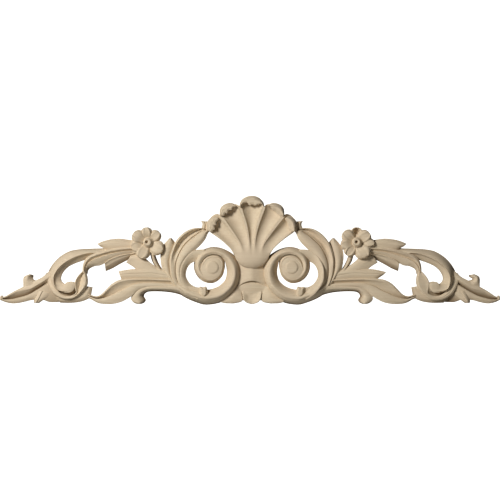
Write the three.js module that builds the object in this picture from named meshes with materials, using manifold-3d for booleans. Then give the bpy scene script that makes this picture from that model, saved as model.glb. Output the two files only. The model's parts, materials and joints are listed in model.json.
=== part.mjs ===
// Carved wood applique: a long pierced overlay with a shell between two volutes and leaf scrolls
// running out to a leaf at either end. It is carved from one board, so it is one solid.
// Millimetres, +Z up, +X to the viewer's right. The front faces -Y and the flat back lies in Y = 0.
// The origin is on the back, on the shell's centre line, halfway up the carving.

import * as THREE from "three";
import { mergeVertices } from "three/addons/utils/BufferGeometryUtils.js";
import Module from "manifold-3d";

// Driving sizes
const LENGTH = 711;
const HEIGHT = 154.4;
const DEPTH = 22;

// The carving is drawn on a sheet 500 units long and 108 high. A place on it is [out, up]:
// how far out from the shell's centre line, and how far up from the foot.
const SHEET_LENGTH = 500;
const SHEET_HEIGHT = 108;

// Wood left outside the drawn line on either edge of a form, in sheet units.
const OUTSIDE_LINE = 0.4;

const LONG_UNIT = LENGTH / SHEET_LENGTH;
const TALL_UNIT = HEIGHT / (SHEET_HEIGHT + 2 * OUTSIDE_LINE);

// The left wing reaches 252 units out and the right one 248: its end leaf is drawn in.
const DRAWN_IN_FROM = 222;
const DRAWN_IN_BY = 0.13;

const LEFT = -1;
const RIGHT = 1;

const CURVE_FACETS = 2;

const wasm = await Module();
wasm.setup();

// Place on the sheet as a point in millimetres, at a depth along Y.
function placed(side, out, up, y) {
  const past = Math.max(Math.abs(out) - DRAWN_IN_FROM, 0);
  const reach = side === RIGHT ? out - DRAWN_IN_BY * past : out;
  return [side * reach * LONG_UNIT, y, (up - SHEET_HEIGHT / 2) * TALL_UNIT];
}

// The front surface stands a share of DEPTH forward of the back.
function carved(side, out, up, share) {
  return placed(side, out, up, -share * DEPTH);
}

// Smooth curve through rows of numbers: a Catmull-Rom curve, at a place counted in rows.
function between(rows, place, closed = false) {
  const count = rows.length;
  const last = closed ? count : count - 1;
  const start = Math.min(Math.floor(place), last - 1);
  const t = place - start;
  const pick = (k) => (closed ? rows[(k + count) % count] : rows[Math.min(Math.max(k, 0), last)]);
  const [a, b, c, d] = [pick(start - 1), pick(start), pick(start + 1), pick(start + 2)];
  return b.map((value, i) => {
    const bend = 2 * a[i] - 5 * value + 4 * c[i] - d[i];
    const twist = 3 * value - a[i] - 3 * c[i] + d[i];
    return value + 0.5 * t * (c[i] - a[i] + t * (bend + t * twist));
  });
}

// Section across a piece: rows of [share across, height, bulge to the next row].
// The bulge is how far the arc to the next row stands over its chord; gouge cuts are negative.
function sectionPoints(section) {
  const points = [];
  for (let i = 0; i < section.length - 1; i++) {
    const [from, low, bulge = 0] = section[i];
    const [to, high] = section[i + 1];
    const facets = bulge === 0 ? 1 : CURVE_FACETS;
    for (let k = 0; k < facets; k++) {
      const t = k / facets;
      points.push([from + (to - from) * t, low + (high - low) * t + bulge * 4 * t * (1 - t)]);
    }
  }
  points.push(section.at(-1).slice(0, 2));
  return points;
}

function mixed(first, second, share) {
  return first.map((row, i) => row.map((value, k) => value + (second[i][k] - value) * share));
}

// The share across that a section calls a half moves to the station's own ridge line.
function shifted(across, ridge) {
  return across < 0.5 ? across * 2 * ridge : 1 - (1 - across) * 2 * (1 - ridge);
}

function solidFrom(points, triangles) {
  const geometry = new THREE.BufferGeometry();
  geometry.setAttribute("position", new THREE.Float32BufferAttribute(points.flat(), 3));
  geometry.setIndex(triangles.flat());
  return solidOf(geometry);
}

// Closed geometry as a solid, turned right side out whichever way it was wound.
function solidOf(geometry) {
  geometry.deleteAttribute("normal");
  geometry.deleteAttribute("uv");
  const merged = mergeVertices(geometry);
  const vertProperties = merged.getAttribute("position").array;
  const triVerts = new Uint32Array(merged.getIndex().array);
  if (signedVolume(vertProperties, triVerts) < 0) {
    for (let i = 0; i < triVerts.length; i += 3) {
      [triVerts[i], triVerts[i + 1]] = [triVerts[i + 1], triVerts[i]];
    }
  }
  return new wasm.Manifold(new wasm.Mesh({ numProp: 3, vertProperties, triVerts }));
}

function signedVolume(position, index) {
  const corner = (k) => new THREE.Vector3().fromArray(position, index[k] * 3);
  let volume = 0;
  for (let i = 0; i < index.length; i += 3) {
    volume += corner(i).dot(corner(i + 1).cross(corner(i + 2)));
  }
  return volume;
}

// Edges of a strip at a place along it, moved apart by the wood left outside the line.
function edgesAt(stations, place) {
  const [outA, upA, outB, upB, lift, ridge] = between(stations, place);
  const width = Math.hypot(outB - outA, upB - upA);
  const [out, up] = [(outB - outA) / width * OUTSIDE_LINE, (upB - upA) / width * OUTSIDE_LINE];
  return [[outA - out, upA - up], [outB + out, upB + up], lift, ridge];
}

// Strip: a form carried along stations of [out, up, out, up, height, ridge], which give its two
// edges, its height and where its ridge line runs. Its sides go straight back into stock that is
// planed off once the forms are joined.
function strip(side, { stations, section, tipSection = section, rows = stations.length - 1 }) {
  const points = [];
  let across = 0;
  for (let r = 0; r <= rows; r++) {
    const share = r / rows;
    const [lineA, lineB, lift, ridge] = edgesAt(stations, share * (stations.length - 1));
    const profile = sectionPoints(mixed(section, tipSection, share));
    across = profile.length;
    for (const [t, height] of profile) {
      const s = shifted(t, ridge);
      const [out, up] = lineA.map((value, k) => value + (lineB[k] - value) * s);
      points.push(carved(side, out, up, height * lift));
    }
    points.push(placed(side, ...lineB, DEPTH), placed(side, ...lineA, DEPTH));
  }
  const ring = across + 2;
  const triangles = [];
  for (let r = 0; r < rows; r++) {
    for (let c = 0; c < ring; c++) {
      const [a, b] = [r * ring + c, r * ring + ((c + 1) % ring)];
      triangles.push([a, b, b + ring], [a, b + ring, a + ring]);
    }
  }
  for (let c = 1; c < across; c++) {
    triangles.push([ring - 1, c, c - 1], [rows * ring + ring - 1, rows * ring + c - 1, rows * ring + c]);
  }
  const end = rows * ring;
  triangles.push([ring - 1, ring - 2, across - 1], [end + ring - 1, end + across - 1, end + ring - 2]);
  return solidFrom(points, triangles);
}

// Mound: a closed outline of [out, up] round a centre, with a section from the centre outwards.
function mound(side, { centre, outline, section, steps = outline.length }) {
  const profile = sectionPoints(section);
  const points = [carved(side, ...centre, profile[0][1]), placed(side, ...centre, DEPTH)];
  for (let k = 0; k < steps; k++) {
    const [out, up] = between(outline, (k / steps) * outline.length, true);
    const grown = 1 + OUTSIDE_LINE / Math.hypot(out - centre[0], up - centre[1]);
    const at = (share) => [centre[0] + (out - centre[0]) * share, centre[1] + (up - centre[1]) * share];
    for (const [share, height] of profile.slice(1)) {
      points.push(carved(side, ...at(share * grown), height));
    }
    points.push(placed(side, ...at(grown), DEPTH));
  }
  const spoke = profile.length;
  const triangles = [];
  for (let k = 0; k < steps; k++) {
    const [here, next] = [2 + k * spoke, 2 + ((k + 1) % steps) * spoke];
    triangles.push([0, here, next], [1, next + spoke - 1, here + spoke - 1]);
    for (let c = 0; c < spoke - 1; c++) {
      triangles.push([here + c, here + c + 1, next + c + 1], [here + c, next + c + 1, next + c]);
    }
  }
  return solidFrom(points, triangles);
}

// Sections
const ROUND = [[0, 0.72, 0.12], [0.5, 1, 0.12], [1, 0.72]];
const LEAFLET = [[0, 0.8, 0.08], [0.5, 0.95], [0.56, 0.84, 0.1], [1, 0.7]];
const HOLLOW_LEAF = [[0, 0.78], [0.08, 0.8, -0.1], [0.46, 0.62], [0.5, 0.72, 0.12], [1, 0.8]];
const SCROLL = [[0, 0.5, 0.08], [0.47, 1], [0.55, 0.7, -0.08], [1, 0.55]];
const VOLUTE_BAND = [[0, 0.6, 0.07], [0.45, 1, 0.03], [1, 0.82]];

// The leaf that ends the carving: a hollow blade with a rolled lower lip, a square curl standing on
// its upper edge, a small curl at the very tip and a lobe hanging from its root.
function endLeaf(side) {
  const root = [[0, 0.85], [0.1, 0.95, 0.02], [0.4, 0.55], [0.5, 0.8, 0.12], [1, 0.75]];
  const tip = [[0, 0.95], [0.08, 1, -0.1], [0.46, 0.55], [0.5, 0.9, 0.08], [1, 0.8]];
  const blade = strip(side, {
    section: root,
    tipSection: tip,
    stations: [
      [196, 36, 194, 2.5, 0.56, 0.26],
      [203, 31.7, 202, 2.3, 0.54, 0.28],
      [209, 27.1, 208.5, 4.4, 0.52, 0.34],
      [215, 23.9, 215, 4.9, 0.5, 0.44],
      [221.5, 20.6, 221.5, 4.1, 0.48, 0.5],
      [228, 17.4, 227.5, 2.6, 0.46, 0.54],
      [235, 14, 234, 1.3, 0.43, 0.52],
      [241, 10.7, 240, 1, 0.4, 0.48],
      [246, 7.8, 245.5, 2, 0.36, 0.42],
      [252, 6.8, 252, 4.2, 0.3, 0.5],
    ],
  });
  const squareCurl = strip(side, {
    section: ROUND,
    stations: [
      [228, 15, 217, 18, 0.44, 0.5],
      [228.3, 21, 218.4, 23.2, 0.5, 0.5],
      [228, 25.6, 218.8, 26.4, 0.5, 0.5],
      [225.2, 28.9, 219.8, 29.4, 0.42, 0.5],
    ],
  });
  const tipCurl = strip(side, {
    section: ROUND,
    stations: [
      [251.5, 5.5, 247, 5.5, 0.32, 0.5],
      [251.4, 8.6, 246.8, 8.8, 0.36, 0.5],
      [250.5, 10.2, 247.8, 10.4, 0.32, 0.5],
    ],
  });
  const rootLobe = strip(side, {
    section: ROUND,
    stations: [
      [216, 12, 203, 10, 0.46, 0.4],
      [216.8, 7, 207.5, 5.6, 0.48, 0.45],
      [217.6, 3.6, 210.5, 3, 0.46, 0.5],
      [217.4, 1.1, 213.5, 1, 0.4, 0.5],
    ],
  });
  return [blade, squareCurl, tipCurl, rootLobe];
}

// The C scroll: a band with a sharp crest and a scooped inner side, a knob where it curls in, and
// two leaves wrapped round the curl from below.
function outerScroll(side) {
  const band = strip(side, {
    section: SCROLL,
    rows: 12,
    stations: [
      [148, 56, 154, 41, 0.5, 0.5],
      [158, 55.4, 162, 43, 0.56, 0.5],
      [168, 55.2, 169, 44.3, 0.62, 0.5],
      [177.2, 53.9, 175.5, 43.2, 0.68, 0.5],
      [186.4, 50.3, 182, 40.8, 0.7, 0.5],
      [194.5, 44.7, 187, 36.5, 0.72, 0.5],
      [201, 37.7, 189.8, 31.2, 0.72, 0.52],
      [204.5, 31.5, 190.8, 25, 0.7, 0.54],
      [206, 23, 189, 19, 0.68, 0.54],
      [205.5, 13, 187, 14, 0.64, 0.52],
      [201, 4, 184, 10.5, 0.6, 0.5],
      [190, 2.1, 182, 8.5, 0.5, 0.5],
      [180, 3, 178, 9, 0.4, 0.5],
    ],
  });
  const knob = strip(side, {
    section: ROUND,
    stations: [
      [196.5, 21, 193, 13, 0.4, 0.5],
      [192, 20, 188.5, 11.6, 0.48, 0.5],
      [187.5, 20.6, 184, 11.2, 0.56, 0.5],
      [183, 22.4, 179.6, 13.4, 0.58, 0.5],
      [178.6, 22.6, 177, 17, 0.52, 0.5],
    ],
  });
  const channelFloor = strip(side, {
    section: [[0, 1], [1, 1]],
    stations: [
      [198, 20, 196, 4, 0.34, 0.5],
      [190, 18, 188, 3, 0.34, 0.5],
      [183, 17, 182, 4, 0.34, 0.5],
      [178, 18, 171, 12, 0.34, 0.5],
      [176, 22, 167, 21, 0.34, 0.5],
    ],
  });
  const wrappingLeaf = strip(side, {
    section: [[0, 0.6], [0.5, 0.85, 0.06], [1, 0.92]],
    stations: [
      [169.5, 34, 166.5, 33.4, 0.56, 0.5],
      [173, 29.8, 165.2, 28, 0.58, 0.5],
      [175.6, 24.6, 164, 21, 0.6, 0.45],
      [176.2, 17, 165, 15.2, 0.62, 0.4],
      [179.5, 11.7, 170, 8.8, 0.62, 0.4],
      [185.5, 9, 177, 4.8, 0.6, 0.45],
      [192, 10, 186, 3.7, 0.58, 0.5],
      [197, 14, 195, 4, 0.52, 0.5],
    ],
  });
  const backingLeaf = strip(side, {
    section: [[0, 1], [1, 0.85]],
    stations: [
      [165, 17.8, 160.2, 16.6, 0.34, 0.5],
      [166, 13, 160.8, 11.5, 0.36, 0.5],
      [170, 9, 162.5, 6.5, 0.36, 0.5],
      [176, 6, 170.5, 3, 0.36, 0.5],
      [184, 5, 181, 1, 0.36, 0.5],
      [192, 5, 191, 1.9, 0.36, 0.5],
    ],
  });
  return [band, knob, channelFloor, wrappingLeaf, backingLeaf];
}

// Three leaves sweeping out from the flower, the middle one over the end of the C scroll.
function spray(side) {
  const upperLeaf = strip(side, {
    section: LEAFLET,
    stations: [
      [110, 63, 110, 54, 0.56, 0.6],
      [122, 64, 122, 55, 0.58, 0.68],
      [132, 65.4, 132, 54.5, 0.58, 0.7],
      [142, 64.6, 141, 54.5, 0.56, 0.72],
      [149, 62.6, 148, 55, 0.54, 0.75],
      [153.6, 60.8, 152, 58, 0.5, 0.6],
    ],
  });
  const middleLeaf = strip(side, {
    section: [[0, 0.85], [0.5, 0.94], [0.55, 0.84, 0.1], [1, 0.82]],
    stations: [
      [108, 58, 110, 48, 0.66, 0.45],
      [121, 57, 122, 49, 0.66, 0.42],
      [132, 56, 132, 47, 0.66, 0.4],
      [142, 54.5, 140, 44.2, 0.66, 0.36],
      [152, 52, 146.5, 41.7, 0.66, 0.34],
      [161, 49, 152, 39, 0.66, 0.34],
      [166.6, 44, 158, 38, 0.64, 0.36],
      [168.8, 37.6, 163.5, 34.9, 0.62, 0.45],
      [169, 31, 164.8, 30.2, 0.56, 0.5],
    ],
  });
  const lowerLeaf = strip(side, {
    section: [[0, 1, -0.08], [1, 0.86]],
    stations: [
      [110, 54, 109, 48, 0.52, 0.5],
      [119, 51, 116.5, 48, 0.52, 0.5],
      [128, 49.7, 125, 44.2, 0.5, 0.5],
      [137, 47, 133, 40, 0.48, 0.5],
      [143.5, 44, 140, 36, 0.46, 0.5],
      [147.2, 40, 146.4, 33.3, 0.42, 0.5],
    ],
  });
  return [upperLeaf, middleLeaf, lowerLeaf];
}

// Six cupped petals round a drilled button, each [angle from straight up, reach, half width], and
// the stem that carries the flower. The two flowers were laid out a little differently by hand.
const FLOWER_CENTRE = [103.7, 61];
const LEFT_PETALS = [
  [-6, 15.4, 5.2],
  [42, 15.6, 5.6],
  [110, 16, 8.2],
  [200, 15.6, 7],
  [256, 17.8, 7],
  [306, 17.6, 6.6],
];
const RIGHT_PETALS = [
  [0, 15.6, 5.4],
  [58, 16.4, 7],
  [128, 16, 7.2],
  [208, 15.6, 8],
  [262, 16.6, 5.4],
  [310, 16.4, 6],
];
const PETAL_WIDTHS = [[0.12, 0.3], [0.4, 0.74], [0.68, 1], [0.88, 0.86], [1, 0.42]];
const UPPER_PETAL = 0.84;
const UNDER_PETAL = 0.8;

function petal(side, [angle, reach, halfWidth], order) {
  const turn = THREE.MathUtils.degToRad(angle);
  const along = [-Math.sin(turn), Math.cos(turn)];
  const at = (ahead, aside) => [
    FLOWER_CENTRE[0] + along[0] * ahead + along[1] * aside,
    FLOWER_CENTRE[1] + along[1] * ahead - along[0] * aside,
  ];
  const rise = order % 2 === 0 ? UPPER_PETAL : UNDER_PETAL;
  return strip(side, {
    section: [[0, 0.88], [0.2, 1, -0.09], [0.8, 1], [1, 0.88]],
    stations: PETAL_WIDTHS.map(([ahead, wide]) => [
      ...at(reach * ahead, halfWidth * wide), ...at(reach * ahead, -halfWidth * wide), rise, 0.5,
    ]),
  });
}

function flower(side) {
  const layout = side === LEFT ? LEFT_PETALS : RIGHT_PETALS;
  const petals = layout.map((shape, order) => petal(side, shape, order));
  const button = mound(side, {
    centre: FLOWER_CENTRE,
    outline: ringAround(FLOWER_CENTRE, 4.4, 10),
    section: [[0, 0.8], [0.3, 0.82], [0.5, 0.97], [0.78, 0.97], [1, 0.85]],
  });
  const stem = strip(side, {
    section: ROUND,
    stations: [
      [102, 52, 98, 52, 0.5, 0.5],
      [99.8, 43.6, 94.6, 43, 0.48, 0.5],
      [96.8, 38.2, 91.4, 37, 0.48, 0.5],
      [91, 30, 86, 29, 0.5, 0.5],
    ],
  });
  return [...petals, button, stem];
}

function ringAround([out, up], radius, count) {
  return Array.from({ length: count }, (_, k) => {
    const angle = (2 * Math.PI * k) / count;
    return [out + radius * Math.cos(angle), up + radius * Math.sin(angle)];
  });
}

// The leaves below the flower: two leaflets, the long hollow leaf that meets the C scroll, and the
// branch under it that ends in a hook.
function lowerLeaves(side) {
  const rearLeaflet = strip(side, {
    section: LEAFLET,
    stations: [
      [78, 34, 80, 22, 0.54, 0.4],
      [91, 34.5, 92, 24, 0.52, 0.4],
      [101.4, 41, 104, 27, 0.5, 0.4],
      [107.6, 46.4, 113, 33, 0.5, 0.4],
      [114.4, 50.6, 119.2, 38, 0.48, 0.4],
      [121, 49, 125.6, 42, 0.46, 0.4],
    ],
  });
  const leaflet = strip(side, {
    section: LEAFLET,
    stations: [
      [78, 32, 80, 20, 0.58, 0.5],
      [97, 35.5, 97, 23, 0.56, 0.5],
      [111, 35, 111, 23.5, 0.56, 0.5],
      [122, 34.5, 122.5, 23.5, 0.54, 0.5],
      [129.5, 33, 130.6, 24.4, 0.52, 0.5],
      [133.4, 31.8, 132, 29, 0.48, 0.5],
    ],
  });
  const longLeaf = strip(side, {
    section: HOLLOW_LEAF,
    rows: 11,
    stations: [
      [72, 24, 72, 14, 0.68, 0.45],
      [87, 24.7, 87, 16.2, 0.68, 0.45],
      [102, 25.3, 102, 16.7, 0.68, 0.45],
      [114, 25.4, 113, 15, 0.68, 0.45],
      [124, 25.2, 118.2, 10.4, 0.68, 0.47],
      [132.4, 24, 122, 7.2, 0.68, 0.52],
      [139.6, 20.2, 131, 2.4, 0.66, 0.46],
      [145.4, 14.6, 140, 0.4, 0.62, 0.42],
      [150.2, 9.8, 148, 0.4, 0.56, 0.36],
      [155.6, 7.6, 154.5, 1.6, 0.5, 0.36],
      [161, 8.8, 160.5, 4.9, 0.44, 0.4],
      [164.8, 9.8, 163.5, 6, 0.38, 0.5],
    ],
  });
  const hookedBranch = strip(side, {
    section: [[0, 0.95, 0.04], [0.5, 0.9, 0.06], [1, 0.6]],
    rows: 11,
    stations: [
      [49, 16, 49, 0, 0.8, 0.5],
      [60, 17, 60, 3.8, 0.76, 0.5],
      [69, 18, 69, 8.6, 0.72, 0.5],
      [78, 18, 78, 11.4, 0.68, 0.5],
      [89, 17.5, 89, 12.8, 0.62, 0.5],
      [100, 17.3, 100, 13, 0.58, 0.5],
      [109, 16, 105, 12.2, 0.54, 0.5],
      [116, 12.7, 107.6, 10.2, 0.52, 0.5],
      [119.7, 8.5, 108.4, 7.7, 0.5, 0.5],
      [120.4, 4.5, 106.6, 4.5, 0.48, 0.5],
      [117.5, 1.2, 107.7, 1.7, 0.46, 0.5],
      [114, 0, 111, 0, 0.4, 0.5],
    ],
  });
  return [rearLeaflet, leaflet, longLeaf, hookedBranch];
}

// The tall leaf beside the shell, a hollow blade folded along its vein, with a two-pointed bud on
// its tip that touches the shell, and the plain leaf standing in front of it.
function acanthus(side) {
  const blade = strip(side, {
    section: [[0, 0.7], [0.08, 0.74, -0.09], [0.45, 0.66], [0.5, 0.58, 0.03], [0.8, 0.96, 0.02], [1, 0.86]],
    rows: 12,
    stations: [
      [56, 5, 48, 8, 0.78, 0.4],
      [68, 11, 58, 11.5, 0.76, 0.4],
      [76.5, 18.5, 65.5, 17, 0.76, 0.4],
      [80.2, 27, 69.7, 24.5, 0.76, 0.42],
      [81.8, 36, 70.7, 32.5, 0.76, 0.46],
      [82, 45, 69, 40, 0.76, 0.5],
      [79.8, 53.8, 64.5, 47, 0.78, 0.47],
      [75.8, 62.8, 58.5, 53, 0.78, 0.42],
      [69, 70.4, 52, 59, 0.78, 0.42],
      [61, 75, 47, 65.2, 0.76, 0.42],
      [53, 76.2, 44.4, 71, 0.72, 0.42],
      [46.5, 75.2, 42.6, 73.2, 0.64, 0.5],
    ],
  });
  const bud = strip(side, {
    section: [[0, 0.9], [0.25, 1], [0.5, 0.82], [0.75, 1], [1, 0.9]],
    stations: [
      [52, 73, 42, 73, 0.6, 0.5],
      [49.7, 77.5, 42.5, 77, 0.62, 0.5],
      [49.2, 80.5, 43.5, 80.5, 0.62, 0.5],
      [50.7, 83.3, 44.7, 82.9, 0.54, 0.5],
    ],
  });
  const frontLeaf = strip(side, {
    section: ROUND,
    stations: [
      [64, 7, 60, 8, 0.62, 0.5],
      [74, 13.5, 68, 13, 0.62, 0.5],
      [80.5, 20.5, 75, 20, 0.62, 0.5],
      [85.5, 28.5, 79, 28, 0.62, 0.5],
      [89.4, 35.5, 80.5, 36, 0.61, 0.5],
      [91, 44, 80.5, 44, 0.6, 0.5],
      [91, 51, 78, 52, 0.6, 0.5],
      [89.2, 58.4, 75.8, 57.5, 0.58, 0.5],
      [85.8, 63.6, 77, 62, 0.54, 0.5],
      [82.2, 66.3, 79.6, 65.8, 0.48, 0.5],
    ],
  });
  return [blade, bud, frontLeaf];
}

// The volute: a band that winds in round its eye, drawn as [angle, outer radius, inner radius], the
// angle counted from straight down and towards the shell. A collar ties it to the tall leaf.
const VOLUTE_CENTRE = [39, 36];
const VOLUTE_RISE = 0.94;
const VOLUTE_FALL = 0.08;
const VOLUTE_TURNS = [
  [-50, 41.6, 28],
  [-30, 38.2, 24.4],
  [-10, 36.9, 22],
  [15, 34.7, 19.4],
  [40, 32, 17.6],
  [60, 30.3, 15.8],
  [80, 28.9, 14.4],
  [100, 27.3, 13.6],
  [120, 24.7, 14.2],
  [140, 22.5, 14.8],
  [160, 21.4, 14.6],
  [180, 21, 14.2],
  [200, 20.6, 13.9],
  [220, 20.6, 13.5],
  [240, 20, 13],
  [260, 19.1, 12.4],
  [280, 18.2, 11.8],
  [300, 17.2, 11.2],
  [320, 16.2, 10.6],
];

function aroundVolute(degrees, radius) {
  const angle = THREE.MathUtils.degToRad(degrees);
  return [VOLUTE_CENTRE[0] - radius * Math.sin(angle), VOLUTE_CENTRE[1] - radius * Math.cos(angle)];
}

function volute(side) {
  const lastTurn = VOLUTE_TURNS.length - 1;
  const band = strip(side, {
    section: VOLUTE_BAND,
    rows: 19,
    stations: VOLUTE_TURNS.map(([angle, outer, inner], i) => {
      const lift = VOLUTE_RISE - VOLUTE_FALL * (i / lastTurn);
      return [...aroundVolute(angle, outer), ...aroundVolute(angle, inner), lift, 0.46];
    }),
  });
  const eyeRadii = [14.5, 12.9, 11.8, 11.2, 12, 14.2, 15, 14.4, 14, 13.6, 14, 15.2, 16, 15.5];
  const eye = mound(side, {
    centre: [37.8, 35.8],
    outline: eyeRadii.map((radius, k) => aroundVolute((360 * k) / eyeRadii.length, radius)),
    section: [[0, 0.92], [0.52, 0.92, 0.02], [1, 0.62]],
    steps: 20,
  });
  const bud = mound(side, {
    centre: [48, 13],
    outline: [
      [52, 15], [51, 16.4], [49, 17.1], [46, 17], [44.6, 15], [44, 11], [44, 8.6], [48, 7.5], [51, 9],
    ],
    section: [[0, 0.97], [0.6, 0.94], [1, 0.8]],
  });
  const collar = strip(side, {
    section: [[0, 1], [0.4, 0.84], [1, 0.62]],
    stations: [
      [47, 54.5, 47, 40, 0.72, 0.5],
      [56.5, 53.8, 55.5, 43, 0.7, 0.5],
      [63, 50, 60.6, 41.4, 0.68, 0.5],
      [67.6, 44.4, 63.8, 38.2, 0.68, 0.5],
      [70.4, 37.8, 65.8, 33.8, 0.68, 0.5],
      [71.4, 31, 66.4, 29, 0.68, 0.5],
      [70.8, 24, 65, 24.4, 0.68, 0.5],
      [67.6, 17.6, 61.4, 19.6, 0.7, 0.5],
      [60, 11, 55, 16, 0.74, 0.5],
    ],
  });
  return [band, eye, bud, collar];
}

// The shell: five scooped flutes between raised double ridges, each under a rolled lip with a
// notched edge, gathered into a smooth boss at the foot.
const MIDDLE_RIDGE = [[10.6, 103], [11.3, 98], [9, 90], [6.3, 81], [4.2, 71.5], [3, 63], [2.4, 56]];
const SIDE_RIDGE = [[30, 93], [31.5, 88], [27.5, 83], [21.5, 75.5], [15.5, 67], [11.5, 61.5], [9, 54]];
const SHELL_EDGE = [[43, 80], [43.4, 72.6], [38, 68.6], [32.4, 64.8], [26.6, 60.4], [21.6, 55.4], [17.2, 48]];
const FLUTE_LIFT = [0.72, 0.74, 0.77, 0.81, 0.85, 0.88, 0.88];
const RIDGE_WIDTH = 1.5;
const RIDGE_TAPER = 0.1;
const RIDGE_STEP = 0.05;

function flute(side, farEdge, nearEdge) {
  const scooped = [[0, 1, -0.2], [1, 1]];
  const shallow = [[0, 1, -0.02], [1, 1]];
  return strip(side, {
    section: scooped,
    tipSection: shallow,
    stations: farEdge.map((far, i) => [...far, ...nearEdge[i], FLUTE_LIFT[i], 0.5]),
  });
}

function ridge(side, line) {
  return strip(side, {
    section: [[0, 0.94], [0.5, 1], [1, 0.94]],
    stations: line.slice(1).map(([out, up], i) => {
      const half = RIDGE_WIDTH * (1 - RIDGE_TAPER * i);
      const lift = FLUTE_LIFT[i + 1] + RIDGE_STEP;
      return [out + half, up - half / 2, out - half, up + half / 2, lift, 0.5];
    }),
  });
}

function lip(side, rim, notches) {
  return strip(side, {
    section: [[0, 0.74, 0.1], [0.6, 1], [1, 0.95]],
    stations: rim.map((outer, i) => [...outer, ...notches[i], 0.98, 0.5]),
  });
}

function shellSide(side) {
  const mirrored = MIDDLE_RIDGE.map(([out, up]) => [-out, up]);
  const sideLip = lip(
    side,
    [[32, 89], [31.6, 94], [29, 97.6], [25, 100], [21, 100.8], [17, 99.6], [14, 97.6], [11.5, 96]],
    [[30, 87.8], [28.6, 88.6], [26, 91], [24, 93.4], [21, 94.4], [19, 97], [16, 97.6], [12.5, 95]],
  );
  const endLip = lip(
    side,
    [[44, 73.5], [44.2, 79.5], [42.6, 83.5], [39, 86], [35, 87], [31, 85.2]],
    [[41, 72.4], [39.4, 75], [38, 78.4], [36, 80.2], [35, 83.4], [33, 83.6]],
  );
  const pieces = [
    flute(side, SHELL_EDGE, SIDE_RIDGE),
    flute(side, SIDE_RIDGE, MIDDLE_RIDGE),
    ridge(side, SIDE_RIDGE),
    ridge(side, MIDDLE_RIDGE),
    sideLip,
    endLip,
  ];
  if (side === LEFT) pieces.push(flute(side, MIDDLE_RIDGE, mirrored));
  return pieces;
}

function shellMiddle() {
  const middleLip = lip(
    LEFT,
    [
      [11.6, 98], [11.4, 101.5], [9.4, 104.6], [6, 106.8], [2, 108], [-2, 108], [-6, 106.6], [-9, 104.2],
      [-11, 101], [-11.8, 97.8],
    ],
    [
      [10.4, 98], [9.8, 100.6], [7.6, 101.8], [4.6, 101], [2, 99.2], [-0.6, 99], [-3.4, 100], [-5.4, 102],
      [-8, 102.4], [-10.8, 98],
    ],
  );
  const bossHalf = [
    [8, 67, 0.84], [14, 60, 0.86], [17.4, 52, 0.9], [15.4, 45.8, 0.9], [12.6, 41.2, 0.86], [9.4, 38.3, 0.78],
    [5, 36.7, 0.64],
  ];
  const boss = strip(LEFT, {
    section: [[0, 0.9, 0.04], [0.5, 1, 0.04], [1, 0.9]],
    rows: 6,
    stations: bossHalf.map(([out, up, lift]) => [out, up, -out, up, lift, 0.5]),
  });
  return [middleLip, boss];
}

// Below the shell: a waisted panel between the volutes and a palmette of one cupped lobe between
// two flat ones.
function foot() {
  const panel = mound(LEFT, {
    centre: [0, 31],
    outline: [
      [14, 43], [12.4, 34], [12.4, 27], [13.4, 19], [9, 21], [4.4, 22.1], [0, 22.4], [-4.4, 22.1],
      [-9, 21], [-13.4, 19], [-12.4, 27], [-12.4, 34], [-14, 43], [0, 43],
    ],
    section: [[0, 0.66], [1, 0.6]],
  });
  const middleLobe = mound(LEFT, {
    centre: [0, 9.5],
    outline: [
      [9.6, 13], [8.7, 8], [8, 4.8], [6, 2.5], [3, 1.1], [0, 0.6], [-3, 1.1], [-6, 2.5], [-8, 4.8],
      [-8.7, 8], [-9.6, 13], [-9.6, 20], [0, 24], [9.6, 20],
    ],
    section: [[0, 0.5], [0.4, 0.52], [0.76, 0.66, 0.02], [1, 0.5]],
  });
  return [panel, middleLobe];
}

function footLobe(side) {
  return [
    strip(side, {
      section: [[0, 0.95, 0.03], [1, 1]],
      stations: [
        [16, 24, 4, 24, 0.54, 0.5],
        [22, 15, 9.2, 14, 0.54, 0.5],
        [27, 7, 9.4, 9, 0.54, 0.5],
        [31.5, 2.4, 8.6, 4.6, 0.52, 0.5],
        [27, 0.7, 11, 1.8, 0.48, 0.5],
        [23, 0.6, 19, 0.5, 0.44, 0.5],
      ],
    }),
  ];
}

const SIDE_GROUPS = [endLeaf, outerScroll, spray, flower, lowerLeaves, acanthus, volute, shellSide, footLobe];

function carving() {
  const forms = [LEFT, RIGHT].flatMap((side) => SIDE_GROUPS.flatMap((group) => group(side)));
  forms.push(...shellMiddle(), ...foot());
  return forms.reduce((whole, form) => whole.add(form)).subtract(planedOff());
}

// Everything behind the back plane.
function planedOff() {
  const slab = new THREE.BoxGeometry(2 * LENGTH, 4 * DEPTH, 2 * HEIGHT);
  return solidOf(slab.translate(0, 2 * DEPTH, 0));
}

// Solid as a three.js geometry.
function geometryOf(solid) {
  const mesh = solid.getMesh();
  const geometry = new THREE.BufferGeometry();
  geometry.setAttribute("position", new THREE.Float32BufferAttribute(mesh.vertProperties, 3));
  geometry.setIndex(new THREE.Uint32BufferAttribute(mesh.triVerts, 1));
  geometry.computeVertexNormals();
  return geometry;
}

const maple = new THREE.MeshStandardMaterial({ color: 0xd2bd98, roughness: 0.68, metalness: 0 });
maple.name = "sanded_maple";

const applique = new THREE.Mesh(geometryOf(carving()), maple);
applique.name = "carved_applique";

const group = new THREE.Group();
group.add(applique);

export default group;
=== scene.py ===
# Carved wood applique: a pierced shell, volute and leaf-scroll overlay in sanded bare maple.

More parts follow.
